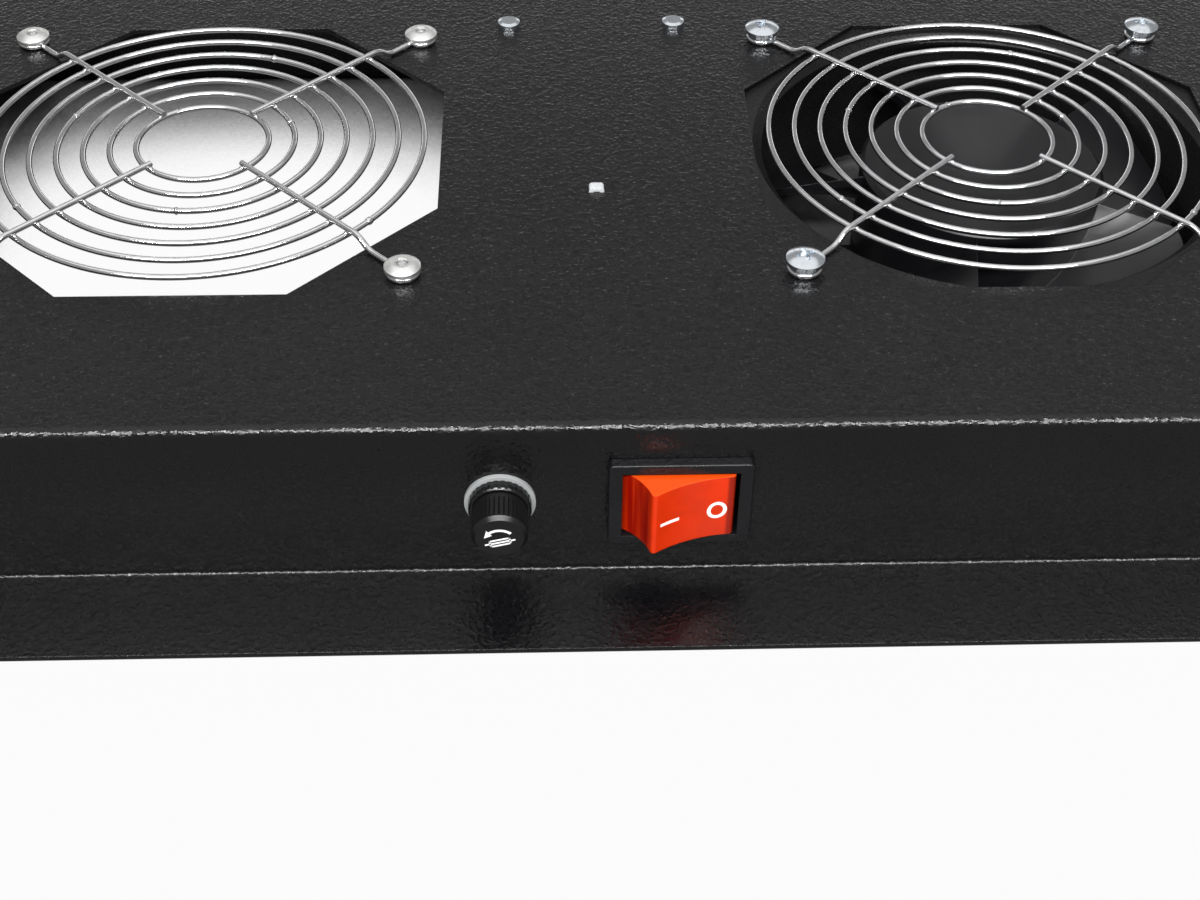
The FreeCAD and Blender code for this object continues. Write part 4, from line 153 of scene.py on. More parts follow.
class Bench:
    """The nodes of one material or of the world, with the end of the chain already in place."""

    def __init__(self, title: str, owner: bpy.types.ID | None = None) -> None:
        """Starts a material, or empties the world's nodes.

        Args:
            title: The material's name.
            owner: The world, where the nodes are its own.
        """
        self.material = owner or bpy.data.materials.new(title)
        self.material.use_nodes = True
        self.tree = self.material.node_tree
        self.tree.nodes.clear()
        kinds = ("OutputWorld", "Background") if owner else ("OutputMaterial", "BsdfPrincipled")
        self.output, self.surface = (self.tree.nodes.new("ShaderNode" + kind) for kind in kinds)
        self.show(Signal(self, self.surface.outputs[0]))

    def show(self, shader: "Signal") -> None:
        """Links a shader to the surface output.

        Args:
            shader: The shader that is seen.
        """
        self.tree.links.new(shader.socket, self.output.inputs["Surface"])

    def seen(self, mirrored: float) -> "Signal":
        """How far a ray sees the backdrop's own white instead of its lit tone.

        Args:
            mirrored: That share for rays that metal, gloss or glass sends on.

        Returns:
            1 for the camera's rays, the share for mirrored ones, 0 for the rest.
        """
        kinds = ("Camera", "Glossy", "Transmission")
        camera, gloss, through = (self.add("ShaderNodeLightPath", out=f"Is {kind} Ray") for kind in kinds)
        return camera + (gloss + through) * mirrored

    @staticmethod
    def _find(sockets: bpy.types.bpy_prop_collection, key: str | int) -> bpy.types.NodeSocket:
        """Finds a live socket.

        Args:
            sockets: The inputs or outputs of a node.
            key: Its place, name or identifier.

        Returns:
            The socket.
        """
        if isinstance(key, int):
            return sockets[key]
        return next(s for s in sockets if s.enabled and key in (s.name, s.identifier))

    def add(
        self,
        kind: str,
        settings: Mapping[str, object] | None = None,
        sockets: Mapping[str | int, object] | None = None,
        out: str | int = 0,
    ) -> Signal:
        """Adds one node.

        Args:
            kind: The node's type.
            settings: Properties, set before the sockets.
            sockets: Values or signals of the inputs, by place, name or identifier.
            out: The output that the result stands for.

        Returns:
            That output as a signal.
        """
        node = self.tree.nodes.new(kind)
        for key, value in (settings or {}).items():
            setattr(node, key, value)
        for key, value in (sockets or {}).items():
            self.feed(self._find(node.inputs, key), value)
        return Signal(self, self._find(node.outputs, out))

    def feed(self, socket: bpy.types.NodeSocket, value: object) -> None:
        """Links a signal to a socket, or sets its value.

        Args:
            socket: The input.
            value: A signal, a number or a tuple.
        """
        if isinstance(value, Signal):
            self.tree.links.new(value.socket, socket)
        else:
            socket.default_value = value

    def shade(self, **values: object) -> None:
        """Sets the surface shader's sockets.

        Args:
            **values: Values or signals by socket name, with _ for a space.
        """
        for name, value in values.items():
            self.feed(self.surface.inputs[name.replace("_", " ")], value)

    def place(self) -> Signal:
        """The point on the piece, in the piece's own metres."""
        return self.add("ShaderNodeTexCoord", out="Object")

    def along(self, axis: str) -> Signal:
        """The distance along one axis, X, Y or Z, of the piece's own metres."""
        return self.add("ShaderNodeSeparateXYZ", {}, {0: self.place()}, axis)

    def stretched(self, x: float, y: float, z: float) -> Signal:
        """The point on the piece, stretched along its axes."""
        return self.add("ShaderNodeVectorMath", {"operation": "MULTIPLY"}, {0: self.place(), 1: (x, y, z)})

    def noise(self, size: float, detail: float = 2.0, rough: float = 0.5, at: Signal | None = None) -> Signal:
        """Soft noise.

        Args:
            size: Width of one patch, in metres.
            detail: Octaves of finer noise.
            rough: Weight of the finer noise.
            at: The point to read, or the point on the piece.

        Returns:
            A signal from about 0 to 1.
        """
        sockets = {"Vector": at or self.place(), "Scale": 1 / size, "Detail": detail, "Roughness": rough}
        return self.add("ShaderNodeTexNoise", {"noise_dimensions": "3D"}, sockets)

    def cells(self, size: float, soft: float = 0.6, at: Signal | None = None) -> Signal:
        """Rounded cells.

        Args:
            size: Width of one cell, in metres.
            soft: How far cells melt into each other.
            at: The point to read, or the point on the piece.

        Returns:
            The distance from the cell's middle.
        """
        return self.add(
            "ShaderNodeTexVoronoi",
            {"feature": "SMOOTH_F1"},
            {"Vector": at or self.place(), "Scale": 1 / size, "Smoothness": soft},
        )

    def blend(self, share: Term, first: "Colour | Signal", second: "Colour | Signal") -> Signal:
        """Mixes two colours.

        Args:
            share: Share of the second colour.
            first: The first colour, linear.
            second: The second colour, linear.

        Returns:
            The mixed colour.
        """
        pair = [tone if isinstance(tone, Signal) else (*tone, 1.0) for tone in (first, second)]
        return self.add(
            "ShaderNodeMix",
            {"data_type": "RGBA", "clamp_factor": True},
            {"Factor_Float": share, "A_Color": pair[0], "B_Color": pair[1]},
            "Result_Color",
        )

    def relief(self, height: Signal, depth: float, strength: float = 1.0, edge: float = 0.0) -> Signal:
        """Turns a height into a bumped normal.

        Args:
            height: Height from 0 to 1.
            depth: What a height of 1 stands for, in metres.
            strength: Share of the bump that is used.
            edge: Rounding of sharp edges under the bump, in metres.

        Returns:
            The normal.
        """
        sockets: dict[str | int, object] = {"Height": height, "Distance": depth, "Strength": strength}
        if edge > 0:
            sockets["Normal"] = self.add("ShaderNodeBevel", {"samples": 6}, {"Radius": edge})
        return self.add("ShaderNodeBump", {}, sockets)


def lighter(colour: Colour, share: float) -> Colour:
    """Scales a colour.

    Args:
        colour: The colour, linear.
        share: What it is multiplied by.

    Returns:
        The scaled colour.
    """
    return tuple(min(1.0, part * share) for part in colour)


# ---------------------------------------------------------------------------------------
# Finishes
# ---------------------------------------------------------------------------------------
@dataclass(frozen=True)
class Finish:
    """What every finish has."""

    title: str
    colour: Colour
    roughness: float

    def mix(self, bench: Bench) -> None:
        """Fills the nodes of this finish.

        Args:
            bench: The bench of the new material.
        """
        raise NotImplementedError

    def material(self) -> bpy.types.Material:
        """Mixes the finish the first time that it is asked for.

        Returns:
            The material of this finish.
        """
        made = bpy.data.materials.get(self.title)
        if made is None:
            bench = Bench(self.title)
            self.mix(bench)
            made = bench.material
        return made

    def coat(self, piece: bpy.types.Object) -> None:
        """Gives a piece this finish in all its material slots.

        Args:
            piece: The object to finish.
        """
        if not piece.material_slots:
            piece.data.materials.append(self.material())
        for slot in piece.material_slots:
            slot.material = self.material()


@dataclass(frozen=True)
class PowderCoat(Finish):
    """Stoved powder coat with a leathery grain of soft cells, run into each other.

    The weights are the shares of cells, slow swell and fine skin in the height.
    """

    grain: float = 1.05 * MM
    depth: float = 0.23 * MM
    edge: float = 0.35 * MM
    shine: float = 0.44
    polish: float = 0.20
    drift: float = 1.9
    melt: float = 0.7
    weights: tuple[float, float, float] = (0.62, 0.55, 0.14)
    cloud: float = 38 * MM

    def mix(self, bench: Bench) -> None:
        """Cells pulled out of round, fine skin between them, cloudy gloss.

        Args:
            bench: The bench of the new material.
        """
        point = bench.place()
        pull = bench.add("ShaderNodeTexNoise", {}, {"Vector": point, "Scale": 0.55 / self.grain}, "Color")
        sway = (self.grain * self.drift,) * 3
        moved = bench.add("ShaderNodeVectorMath", {"operation": "MULTIPLY_ADD"}, {0: pull, 1: sway, 2: point})
        cells = bench.cells(self.grain, self.melt, moved)
        swell = bench.noise(self.grain * 1.7, 2.0, 0.55)
        skin = bench.noise(self.grain * 0.4, 3.0, 0.6)
        of_cells, of_swell, of_skin = self.weights
        height = (1 - cells) * of_cells + swell * of_swell + skin * of_skin
        cloud = bench.noise(self.cloud, 3.0, 0.55)
        bench.shade(
            Base_Color=bench.blend(cloud.ease(0.35, 0.7), self.colour, lighter(self.colour, 1.3)),
            Roughness=self.roughness + (cloud - 0.5) * 0.05 - cells.ease(0.55, 0.15) * self.polish,
            Specular_IOR_Level=self.shine,
            Normal=bench.relief(height, self.depth, 1.0, self.edge),
        )


@dataclass(frozen=True)
class Plated(Finish):
    """Bright metal or plating, with faint rub marks and uneven gloss."""

    patch: float = 3.0 * MM
    uneven: float = 0.08
    ripple: float = 0.004 * MM
    tarnish: float = 0.8

    def mix(self, bench: Bench) -> None:
        """Gloss that wanders, faint waves and slightly duller spots.

        Args:
            bench: The bench of the new material.
        """
        patch = bench.noise(self.patch, 3.0, 0.6)
        fine = bench.noise(self.patch * 0.12, 2.0, 0.6)
        bench.shade(
            Base_Color=bench.blend(patch.ease(0.45, 0.8), self.colour, lighter(self.colour, self.tarnish)),
            Metallic=1.0,
            Roughness=self.roughness + (patch - 0.5) * self.uneven + (fine - 0.5) * self.uneven * 0.6,
            Normal=bench.relief(patch * 0.6 + fine * 0.4, self.ripple * 4, 0.6),
        )


@dataclass(frozen=True)
class Moulded(Finish):
    """Moulded plastic: spark-eroded grain, cloudy gloss, softened edges."""

    grain: float = 0.35 * MM
    depth: float = 0.012 * MM
    edge: float = 0.25 * MM
    through: float = 0.0
    glow: Colour = (1.0, 1.0, 1.0)
    shine: float = 0.5
    reach: float = 4 * MM

    def mix(self, bench: Bench) -> None:
        """Grain under a satin skin; light goes a little way in where the plastic lets it.

        Args:
            bench: The bench of the new material.
        """
        grain = bench.noise(self.grain, 3.0, 0.65)
        cloud = bench.noise(7 * MM, 2.0, 0.5)
        bench.shade(
            Base_Color=self.tone(bench, cloud.ease(0.3, 0.75)),
            Roughness=self.roughness + (grain - 0.5) * 0.12 + (cloud - 0.5) * 0.08,
            Specular_IOR_Level=self.shine,
            Normal=bench.relief(grain, self.depth, 1.0, self.edge),
            Subsurface_Weight=self.through,
            Subsurface_Radius=self.glow,
            Subsurface_Scale=self.reach,
        )

    def tone(self, bench: Bench, cloud: Signal) -> Signal:
        """The colour over the piece.

        Args:
            bench: The bench of the new material.
            cloud: Slow clouds from 0 to 1.

        Returns:
            The colour.
        """
        return bench.blend(cloud, self.colour, lighter(self.colour, 1.18))


@dataclass(frozen=True)
class LampRed(Moulded):
    """Clear red of a lamp rocker, with painted light on its upper side and painted shade at its two ends."""

    # lit: painted light, the orange that the upper side above crest takes where the lamps fall on it.
    lit: Colour = (0.66, 0.062, 0.004)
    # deep: painted shade, the dark red of the left end that faces away from the lamps.
    deep: Colour = (0.26, 0.004, 0.001)
    # shade: painted shade, the dark of the right end inside the bezel's mouth; ends gives where each painted shade
    # starts along X.
    shade: Colour = (0.16, 0.006, 0.002)
    crest: float = 31.45 * MM
    ends: tuple[float, float] = (8.3 * MM, 24.7 * MM)

    def tone(self, bench: Bench, cloud: Signal) -> Signal:
        """Painted light in orange on the upper side, painted shade with vertical streaks on the left end, painted
        shade at the right end.

        Args:
            bench: The bench of the new material.
            cloud: Slow clouds from 0 to 1.

        Returns:
            The colour.
        """
        across = bench.along("X")
        streak = bench.noise(1.3 * MM, 1.0, 0.5, bench.stretched(1.0, 1.0, 0.03))
        # Painted shade on the left end, broken into vertical streaks.
        left = across.ease(self.ends[0], self.ends[0] - 0.5 * MM) * streak.ease(0.30, 0.62, 1.0, 0.35)
        # Painted shade at the right end, inside the bezel's mouth.
        right = across.ease(self.ends[1], self.ends[1] + 0.9 * MM, 0.0, 0.8)
        body = bench.blend(left, super().tone(bench, cloud), self.deep)
        body = bench.blend(right, body, self.shade)
        # Painted light: above the crest the upper side takes the lit orange.
        return bench.blend(bench.along("Z").ease(self.crest, self.crest + 0.2 * MM), body, self.lit)


@dataclass(frozen=True)
class Laminated(Finish):
    """Punched steel sheets in a stack, seen from the side as fine lines."""

    sheet: float = 0.5 * MM

    def mix(self, bench: Bench) -> None:
        """Lines across the stack and a blue-grey scale.

        Args:
            bench: The bench of the new material.
        """
        lines = bench.add(
            "ShaderNodeTexWave",
            {"wave_type": "BANDS", "bands_direction": "Z"},
            {"Vector": bench.place(), "Scale": 0.314 / self.sheet, "Distortion": 0.2},
            "Fac",
        )
        scale = bench.noise(2 * MM, 3.0, 0.6)
        bench.shade(
            Base_Color=bench.blend(scale.ease(0.4, 0.7), self.colour, lighter(self.colour, 0.6)),
            Metallic=1.0,
            Roughness=self.roughness + lines * 0.15,
            Normal=bench.relief(lines, 0.05 * MM, 0.8),
        )


@dataclass(frozen=True)
class Glass(Finish):
    """Clear drawn tube."""

    def mix(self, bench: Bench) -> None:
        """Clear, with faint draw lines along the tube.

        Args:
            bench: The bench of the new material.
        """
        lines = bench.noise(0.6 * MM, 1.0, 0.5, bench.stretched(1.0, 0.05, 1.0))
        bench.shade(
            Base_Color=bench.blend(lines, self.colour, lighter(self.colour, 0.96)),
            Roughness=self.roughness,
            Transmission_Weight=1.0,
            IOR=1.5,
            Normal=bench.relief(lines, 0.004 * MM, 0.5),
        )


@dataclass(frozen=True)
class Printed(Finish):
    """Pad-printed ink, thin at its rims."""

    def mix(self, bench: Bench) -> None:
        """Fine pinholes in the ink.

        Args:
            bench: The bench of the new material.
        """
        pores = bench.noise(0.12 * MM, 2.0, 0.6)
        bench.shade(
            Base_Color=bench.blend(pores.ease(0.35, 0.65), lighter(self.colour, 0.93), self.colour),
            Roughness=self.roughness + (pores - 0.5) * 0.2,
            Normal=bench.relief(pores, 0.01 * MM, 0.6),
        )


COAT = PowderCoat("tray powder coat", (0.0026, 0.0025, 0.0030), 0.29)
WIRE = Plated("bright plated wire", (0.80, 0.80, 0.81), 0.13, 2.2 * MM, 0.10, 0.006 * MM, 0.82)
RIVET = Plated("rivet aluminium", (0.86, 0.86, 0.84), 0.42, 1.2 * MM, 0.14, 0.010 * MM, 0.86)
ZINC = Plated("bright zinc", (0.74, 0.78, 0.82), 0.22, 1.6 * MM, 0.16, 0.008 * MM, 0.80)
MANDREL = Plated("mandrel steel", (0.52, 0.52, 0.53), 0.40, 0.6 * MM, 0.16, 0.012 * MM, 0.7)
STEEL = Plated("motor steel", (0.46, 0.46, 0.48), 0.30, 2.5 * MM, 0.12, 0.006 * MM, 0.75)
BRONZE = Plated("sintered bronze", (0.62, 0.38, 0.17), 0.45, 0.8 * MM, 0.10, 0.010 * MM, 0.75)
BRASS = Plated("nickelled brass", (0.78, 0.62, 0.33), 0.28, 1.5 * MM, 0.12, 0.006 * MM, 0.8)
TIN = Plated("tinned brass", (0.72, 0.72, 0.70), 0.32, 1.5 * MM, 0.12, 0.006 * MM, 0.82)
NICKEL = Plated("nickel", (0.76, 0.73, 0.68), 0.18, 2.0 * MM, 0.08, 0.004 * MM, 0.85)
STACK = Laminated("motor laminations", (0.30, 0.31, 0.34), 0.38)
FAN_PAINT = PowderCoat("fan housing paint", (0.006, 0.006, 0.006), 0.42, 0.8 * MM, 0.05 * MM, 0.4 * MM, 0.3)
FAN_PLASTIC = Moulded("fan plastic", (0.005, 0.005, 0.006), 0.34, 0.5 * MM, 0.010 * MM)
NEUTRAL = (1.0, 1.0, 1.0)
CREAM = (1.0, 0.9, 0.7)
SWITCH_BLACK = Moulded(
    "switch black", (0.0060, 0.0060, 0.0070), 0.28, 0.30 * MM, 0.010 * MM, 0.3 * MM, 0.0, NEUTRAL, 0.32
)
HOLDER_BLACK = Moulded("fuse holder black", (0.0040, 0.0040, 0.0045), 0.16, 0.30 * MM, 0.006 * MM)
CAP_BLACK = Moulded(
    "fuse cap black", (0.0070, 0.0070, 0.0075), 0.24, 0.30 * MM, 0.008 * MM, 0.12 * MM, 0.0, NEUTRAL, 0.30
)
ROCKER_RED = LampRed(
    "rocker red", (0.56, 0.026, 0.0018), 0.13, 0.8 * MM, 0.003 * MM, 0.3 * MM, 0.10, (1.0, 0.12, 0.01), 0.30
)
GLAND_BLACK = Moulded("gland polyamide", (0.013, 0.013, 0.014), 0.42, 0.25 * MM, 0.016 * MM)
RUBBER = Moulded("seal rubber", (0.014, 0.014, 0.014), 0.70, 0.20 * MM, 0.020 * MM)
WASHER_GREY = Moulded("washer grey", (0.30, 0.31, 0.31), 0.55, 0.22 * MM, 0.014 * MM)
BLOCK_WHITE = Moulded(
    "terminal block polyamide", (0.74, 0.73, 0.68), 0.42, 0.30 * MM, 0.010 * MM, 0.3 * MM, 0.3, CREAM
)
TIE_WHITE = Moulded(
    "natural nylon", (0.52, 0.53, 0.54), 0.38, 0.40 * MM, 0.010 * MM, 0.2 * MM, 0.5, (1.0, 0.95, 0.8)
)
SLEEVE = Moulded(
    "receptacle sleeve", (0.70, 0.70, 0.66), 0.30, 0.60 * MM, 0.006 * MM, 0.2 * MM, 0.4, (1.0, 0.9, 0.8)
)
PVC_BROWN = Moulded("brown lead", (0.10, 0.036, 0.016), 0.34, 0.5 * MM, 0.008 * MM, 0.0)
PVC_BLUE = Moulded("blue lead", (0.012, 0.060, 0.28), 0.34, 0.5 * MM, 0.008 * MM, 0.0)
PVC_BLACK = Moulded("black lead", (0.014, 0.014, 0.015), 0.34, 0.5 * MM, 0.008 * MM, 0.0)
PVC_GREEN = Moulded("green lead", (0.020, 0.18, 0.035), 0.34, 0.5 * MM, 0.008 * MM, 0.0)
FUSE_GLASS = Glass("fuse glass", (0.96, 0.98, 0.97), 0.03)
WHITE_INK = Printed("white ink", (0.95, 0.94, 0.93), 0.5)

SLOT_FINISH: dict[str, Finish] = {
    "tray_black": COAT,
    "guard_wire": WIRE,
    "rivet_alu": RIVET,
    "zinc": ZINC,
    "fan_black": FAN_PAINT,
    "fan_plastic": FAN_PLASTIC,
    "motor_steel": STEEL,
    "bronze": BRONZE,
    "laminations": STACK,
    "tin": TIN,
    "switch_black": SWITCH_BLACK,
    "rocker_red": ROCKER_RED,
    "holder_black": HOLDER_BLACK,
    "nickel": NICKEL,
    "clear_glass": FUSE_GLASS,
    "washer_grey": WASHER_GREY,
    "gland_black": GLAND_BLACK,
    "seal_rubber": RUBBER,
    "block_white": BLOCK_WHITE,
    "brass": BRASS,
    "tie_white": TIE_WHITE,
    "receptacle": SLEEVE,
    "wire_brown": PVC_BROWN,
    "wire_blue": PVC_BLUE,
    "wire_black": PVC_BLACK,
    "wire_green": PVC_GREEN,
}


# ---------------------------------------------------------------------------------------
# Metalwork: meshes made point by point
# ---------------------------------------------------------------------------------------
class Workpiece:
    """The points and faces of one piece while it is being made."""

    def __init__(self, name: str) -> None:
        """Starts an empty piece.

        Args:
            name: The piece's name.
        """
        self.name = name
        self.points: list[Vector] = []
        self.faces: list[tuple[int, ...]] = []

    def skin(self, rings: Sequence[Sequence[Vector]], closed: bool, capped: bool) -> None:
        """Joins rings of equal count with a skin.

        Args:
            rings: The rings in order, each turning the same way.
            closed: Whether the last ring joins the first.
            capped: Whether the two ends get a face.
        """
        first, sides = len(self.points), len(rings[0])
        for ring in rings:
            self.points.extend(ring)
        steps = len(rings) if closed else len(rings) - 1
        for step in range(steps):
            low, high = first + step * sides, first + (step + 1) % len(rings) * sides
            for k in range(sides):
                after = (k + 1) % sides
                self.faces.append((low + k, low + after, high + after, high + k))
        if capped and not closed:
            self.faces.append(tuple(first + k for k in reversed(range(sides))))
            self.faces.append(tuple(first + (len(rings) - 1) * sides + k for k in range(sides)))

    def tube(
        self,
        path: Sequence[Vector],
        radius: float | Sequence[float],
        sides: int = 12,
        closed: bool = False,
        squash: float = 1.0,
    ) -> "Workpiece":
        """Sweeps a round section along a path.

        Args:
            path: The points of the middle line.
            radius: The radius, or one for each point.
            sides: Sides of the section.
            closed: Whether the path is a loop.
            squash: Height of the section over its width.

        Returns:
            This piece.
        """
        count = len(path)
        radii = [radius] * count if isinstance(radius, (int, float)) else list(radius)
        rings = []
        side = Vector((0, 0, 0))
        for i, point in enumerate(path):
            before = path[i - 1] if i or closed else path[i]
            after = path[(i + 1) % count] if i + 1 < count or closed else path[i]
            ahead = (after - before).normalized()
            side = side - ahead * side.dot(ahead)
            if side.length < 1e-9:
                side = ahead.cross(Vector((0, 0, 1)) if abs(ahead.z) < 0.9 else Vector((1, 0, 0)))
            side.normalize()
            up = side.cross(ahead)
            ring = []
            for k in range(sides):
                angle = 2 * math.pi * k / sides
                ring.append(point + radii[i] * (side * math.cos(angle) + up * squash * math.sin(angle)))
            rings.append(ring)
        self.skin(rings, closed, True)
        return self

    def turned(self, profile: Line, seat: Matrix, steps: int = 48) -> "Workpiece":
        """Turns a profile round its axis.

        Args:
            profile: (radius, distance along the axis) of each point, from one end to the other.
            seat: Puts the turned piece, made round Z, in its place.
            steps: Steps round the axis.

        Returns:
            This piece.
        """
        rings = []
        for radius, along in profile:
            ring = []
            for k in range(steps):
                angle = 2 * math.pi * k / steps
                ring.append(seat @ Vector((radius * math.cos(angle), radius * math.sin(angle), along)))
            rings.append(ring)
        self.skin(rings, False, True)
        return self

    def slab(self, edge: Line, low: float, high: float, seat: Matrix) -> "Workpiece":
        """Gives an outline a thickness.

        Args:
            edge: The outline, turning anticlockwise seen from above.
            low: Its underside.
            high: Its upper side.
            seat: Puts the slab, made flat in XY, in its place.

        Returns:
            This piece.
        """
        rings = [[seat @ Vector((x, y, z)) for x, y in edge] for z in (low, high)]
        self.skin(rings, False, True)
        return self

    def bead(self, at: Vector, reach: Vector, sides: int = 10) -> "Workpiece":
        """Adds a small rounded bead of weld.

        Args:
            at: The bead's middle.
            reach: Its half sizes along X, Y and Z.
            sides: Sides round it.

        Returns:
            This piece.
        """
        rows, tip = 6, 0.02
        angles = [math.pi * k / rows for k in range(rows + 1)]
        profile = [(math.sin(angle), -math.cos(angle)) for angle in angles]
        profile[0], profile[-1] = (tip, -1.0), (tip, 1.0)
        return self.turned(profile, Matrix.Translation(at) @ Matrix.Diagonal((*reach, 1.0)), sides)

    def fit(
        self, body: Body, finish: Finish, replaces: Iterable[str] = (), sharp: float = 38.0
    ) -> bpy.types.Object:
        """Makes the object, finishes it and lets it ride.

        Args:
            body: The moving group that it belongs to.
            finish: Its finish.
            replaces: CAD nodes that it stands for.
            sharp: Edges over this angle in degrees stay crisp.

        Returns:
            The object.
        """
        mesh = bpy.data.meshes.new(self.name)
        mesh.from_pydata(self.points, [], self.faces)
        mesh.validate()
        mesh.shade_smooth()
        mesh.set_sharp_from_angle(angle=math.radians(sharp))
        piece = bpy.data.objects.new(self.name, mesh)
        bpy.context.scene.collection.objects.link(piece)
        finish.coat(piece)
        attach(piece, body.value)
        nodes = list(replaces)
        if nodes:
            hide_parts(*nodes)
        log.info("made %s, %d faces", self.name, len(self.faces))
        return piece


def turn_z(point: Vector, degrees: float) -> Vector:
    """Turns a point round the Z axis.

    Args:
        point: The point.
        degrees: The angle, anticlockwise seen from above.

    Returns:
        The turned point.
    """
    return Matrix.Rotation(math.radians(degrees), 3, "Z") @ point


def rounded(corners: Sequence[Vector], reach: float, steps: int = 8) -> list[Vector]:
    """Rounds the corners of an open path.

    Args:
        corners: The path's corners.
        reach: How far from a corner its rounding starts.
        steps: Points along one rounding.

    Returns:
        The rounded path.
    """
    path = [corners[0]]
    for before, corner, after in zip(corners, corners[1:], corners[2:]):
        start = corner + (before - corner).normalized() * reach
        end = corner + (after - corner).normalized() * reach
        for k in range(steps + 1):
            t = k / steps
            path.append(start.lerp(corner, t).lerp(corner.lerp(end, t), t))
    path.append(corners[-1])
    return path


# ---------------------------------------------------------------------------------------
# Sub-assemblies
# ---------------------------------------------------------------------------------------
@dataclass
class Carried:
    """CAD pieces whose shape stays and that take a finish."""

    finishes: Mapping[str, Finish] = field(default_factory=lambda: SLOT_FINISH)
    own: Mapping[str, Finish] = field(default_factory=lambda: {"fuse_cap": CAP_BLACK})

    def slots(self) -> dict[str, str]:
        """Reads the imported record.

        Returns:
            The material slot of each CAD node.
        """
        found = {}
        for part in frame["record"]["subparts"]:
            found[part["node"]] = part["material_slot"]
        return found

    def build(self) -> None:
        """Finishes every CAD node."""
        for node, slot in self.slots().items():
            finish = self.own.get(node, self.finishes[slot])
            finish.coat(frame["nodes"][node])
            log.info("finished %s as %s", node, finish.title)


@dataclass
class FingerGuards:
    """Two guards of welded round wire: rings, spokes that end in eyes, weld beads.

    The wire's size is its radius. A butt weld is (degrees along the ring, share of that radius) of each
    section, and a bead is its place beside and over the wire's middle and its three half sizes, as shares.
    """

    ring: float = 55.405 * MM
    pitch: float = 6.5 * MM
    count: int = 7
    wire: float = 0.75 * MM
    rise: float = 2.0 * MM
    sink: float = 0.15 * MM
    bend: float = 58.805 * MM
    ramp: float = 3.6 * MM
    eye: float = 3.45 * MM
    hole: float = 74.105 * MM
    rounding: float = 0.42
    spokes: tuple[int, ...] = (45, 135, 225, 315)
    sides: int = 12
    ring_steps: int = 144
    eye_steps: int = 40
    bead_sides: int = 8
    joins: tuple[float, ...] = (-38.0, -146.5, 71.0, 160.0, -95.0, 22.0, 118.0)
    butt: tuple[tuple[float, float], ...] = ((-0.9, 0.98), (-0.5, 1.2), (0, 1.34), (0.5, 1.2), (0.9, 0.98))
    bead_at: tuple[float, float] = (0.95, 0.85)
    bead: Place = (0.85, 0.8, 0.5)

    def ring_path(self, radius: float, centre: Vector, steps: int) -> list[Vector]:
        """Points round a ring.

        Args:
            radius: The ring's radius.
            centre: Its middle.
            steps: How many points.

        Returns:
            The points, anticlockwise.
        """
        return [centre + turn_z(Vector((radius, 0, 0)), 360 * k / steps) for k in range(steps)]

    def spoke_path(self, inner: float) -> list[Vector]:
        """The middle line of a spoke along X, over the rings and down to its eye.

        Args:
            inner: Radius of the innermost ring.

        Returns:
            The points from the middle outwards.
        """
        high, low = self.rise + 2 * self.wire - self.sink, self.wire
        corners = [
            Vector((inner - self.wire, 0, high)),
            Vector((self.bend, 0, high)),
            Vector((self.bend + self.ramp, 0, low)),
            Vector((self.hole - self.eye, 0, low)),
        ]
        return rounded(corners, self.rounding * (corners[2] - corners[1]).length)

    def guard(self, name: str, centre: Vector, replaces: Iterable[str]) -> None:
        """Makes one guard.

        Args:
            name: The piece's name.
            centre: The bay's middle, on the tray's upper face.
            replaces: CAD nodes that it stands for.
        """
        piece = Workpiece(name)
        radii = [self.ring - k * self.pitch for k in range(self.count)]
        for radius, join in zip(radii, self.joins):
            middle = centre + Vector((0, 0, self.rise))
            piece.tube(self.ring_path(radius, middle, self.ring_steps), self.wire, self.sides, True)
            butt = [middle + turn_z(Vector((radius, 0, 0)), join + along) for along, _ in self.butt]
            piece.tube(butt, [self.wire * swell for _, swell in self.butt], self.sides)
        spoke = self.spoke_path(radii[-1])
        for turn in self.spokes:
            piece.tube([centre + turn_z(p, turn) for p in spoke], self.wire, self.sides)
            at = centre + turn_z(Vector((self.hole, 0, self.wire)), turn)
            piece.tube(self.ring_path(self.eye, at, self.eye_steps), self.wire, self.sides, True)
            for radius in radii:
                for side in (-1, 1):
                    beside, over = self.bead_at
                    spot = Vector((radius, side * self.wire * beside, self.rise + self.wire * over))
                    piece.bead(centre + turn_z(spot, turn), Vector(self.bead) * self.wire, self.bead_sides)
        piece.fit(Body.TRAY, WIRE, replaces)

    def build(self) -> None:
        """Makes the two guards where the CAD guards are."""
        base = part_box("finger_guards")[0].z
        low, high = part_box("fan_frame")
        offset = (low.x + high.x) / 2
        for name, side in (("guard_spare_bay", -1), ("guard_fan_bay", 1)):
            self.guard(name, Vector((side * offset, 0, base)), ["finger_guards"])


def hinge_point(joint: str) -> Vector:
    """Reads where a hinge turns.

    Args:
        joint: The hinge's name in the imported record.

    Returns:
        A point on its axis.
    """
    return Vector(next(row["pos_m"] for row in frame["joints"] if row["name"] == joint))


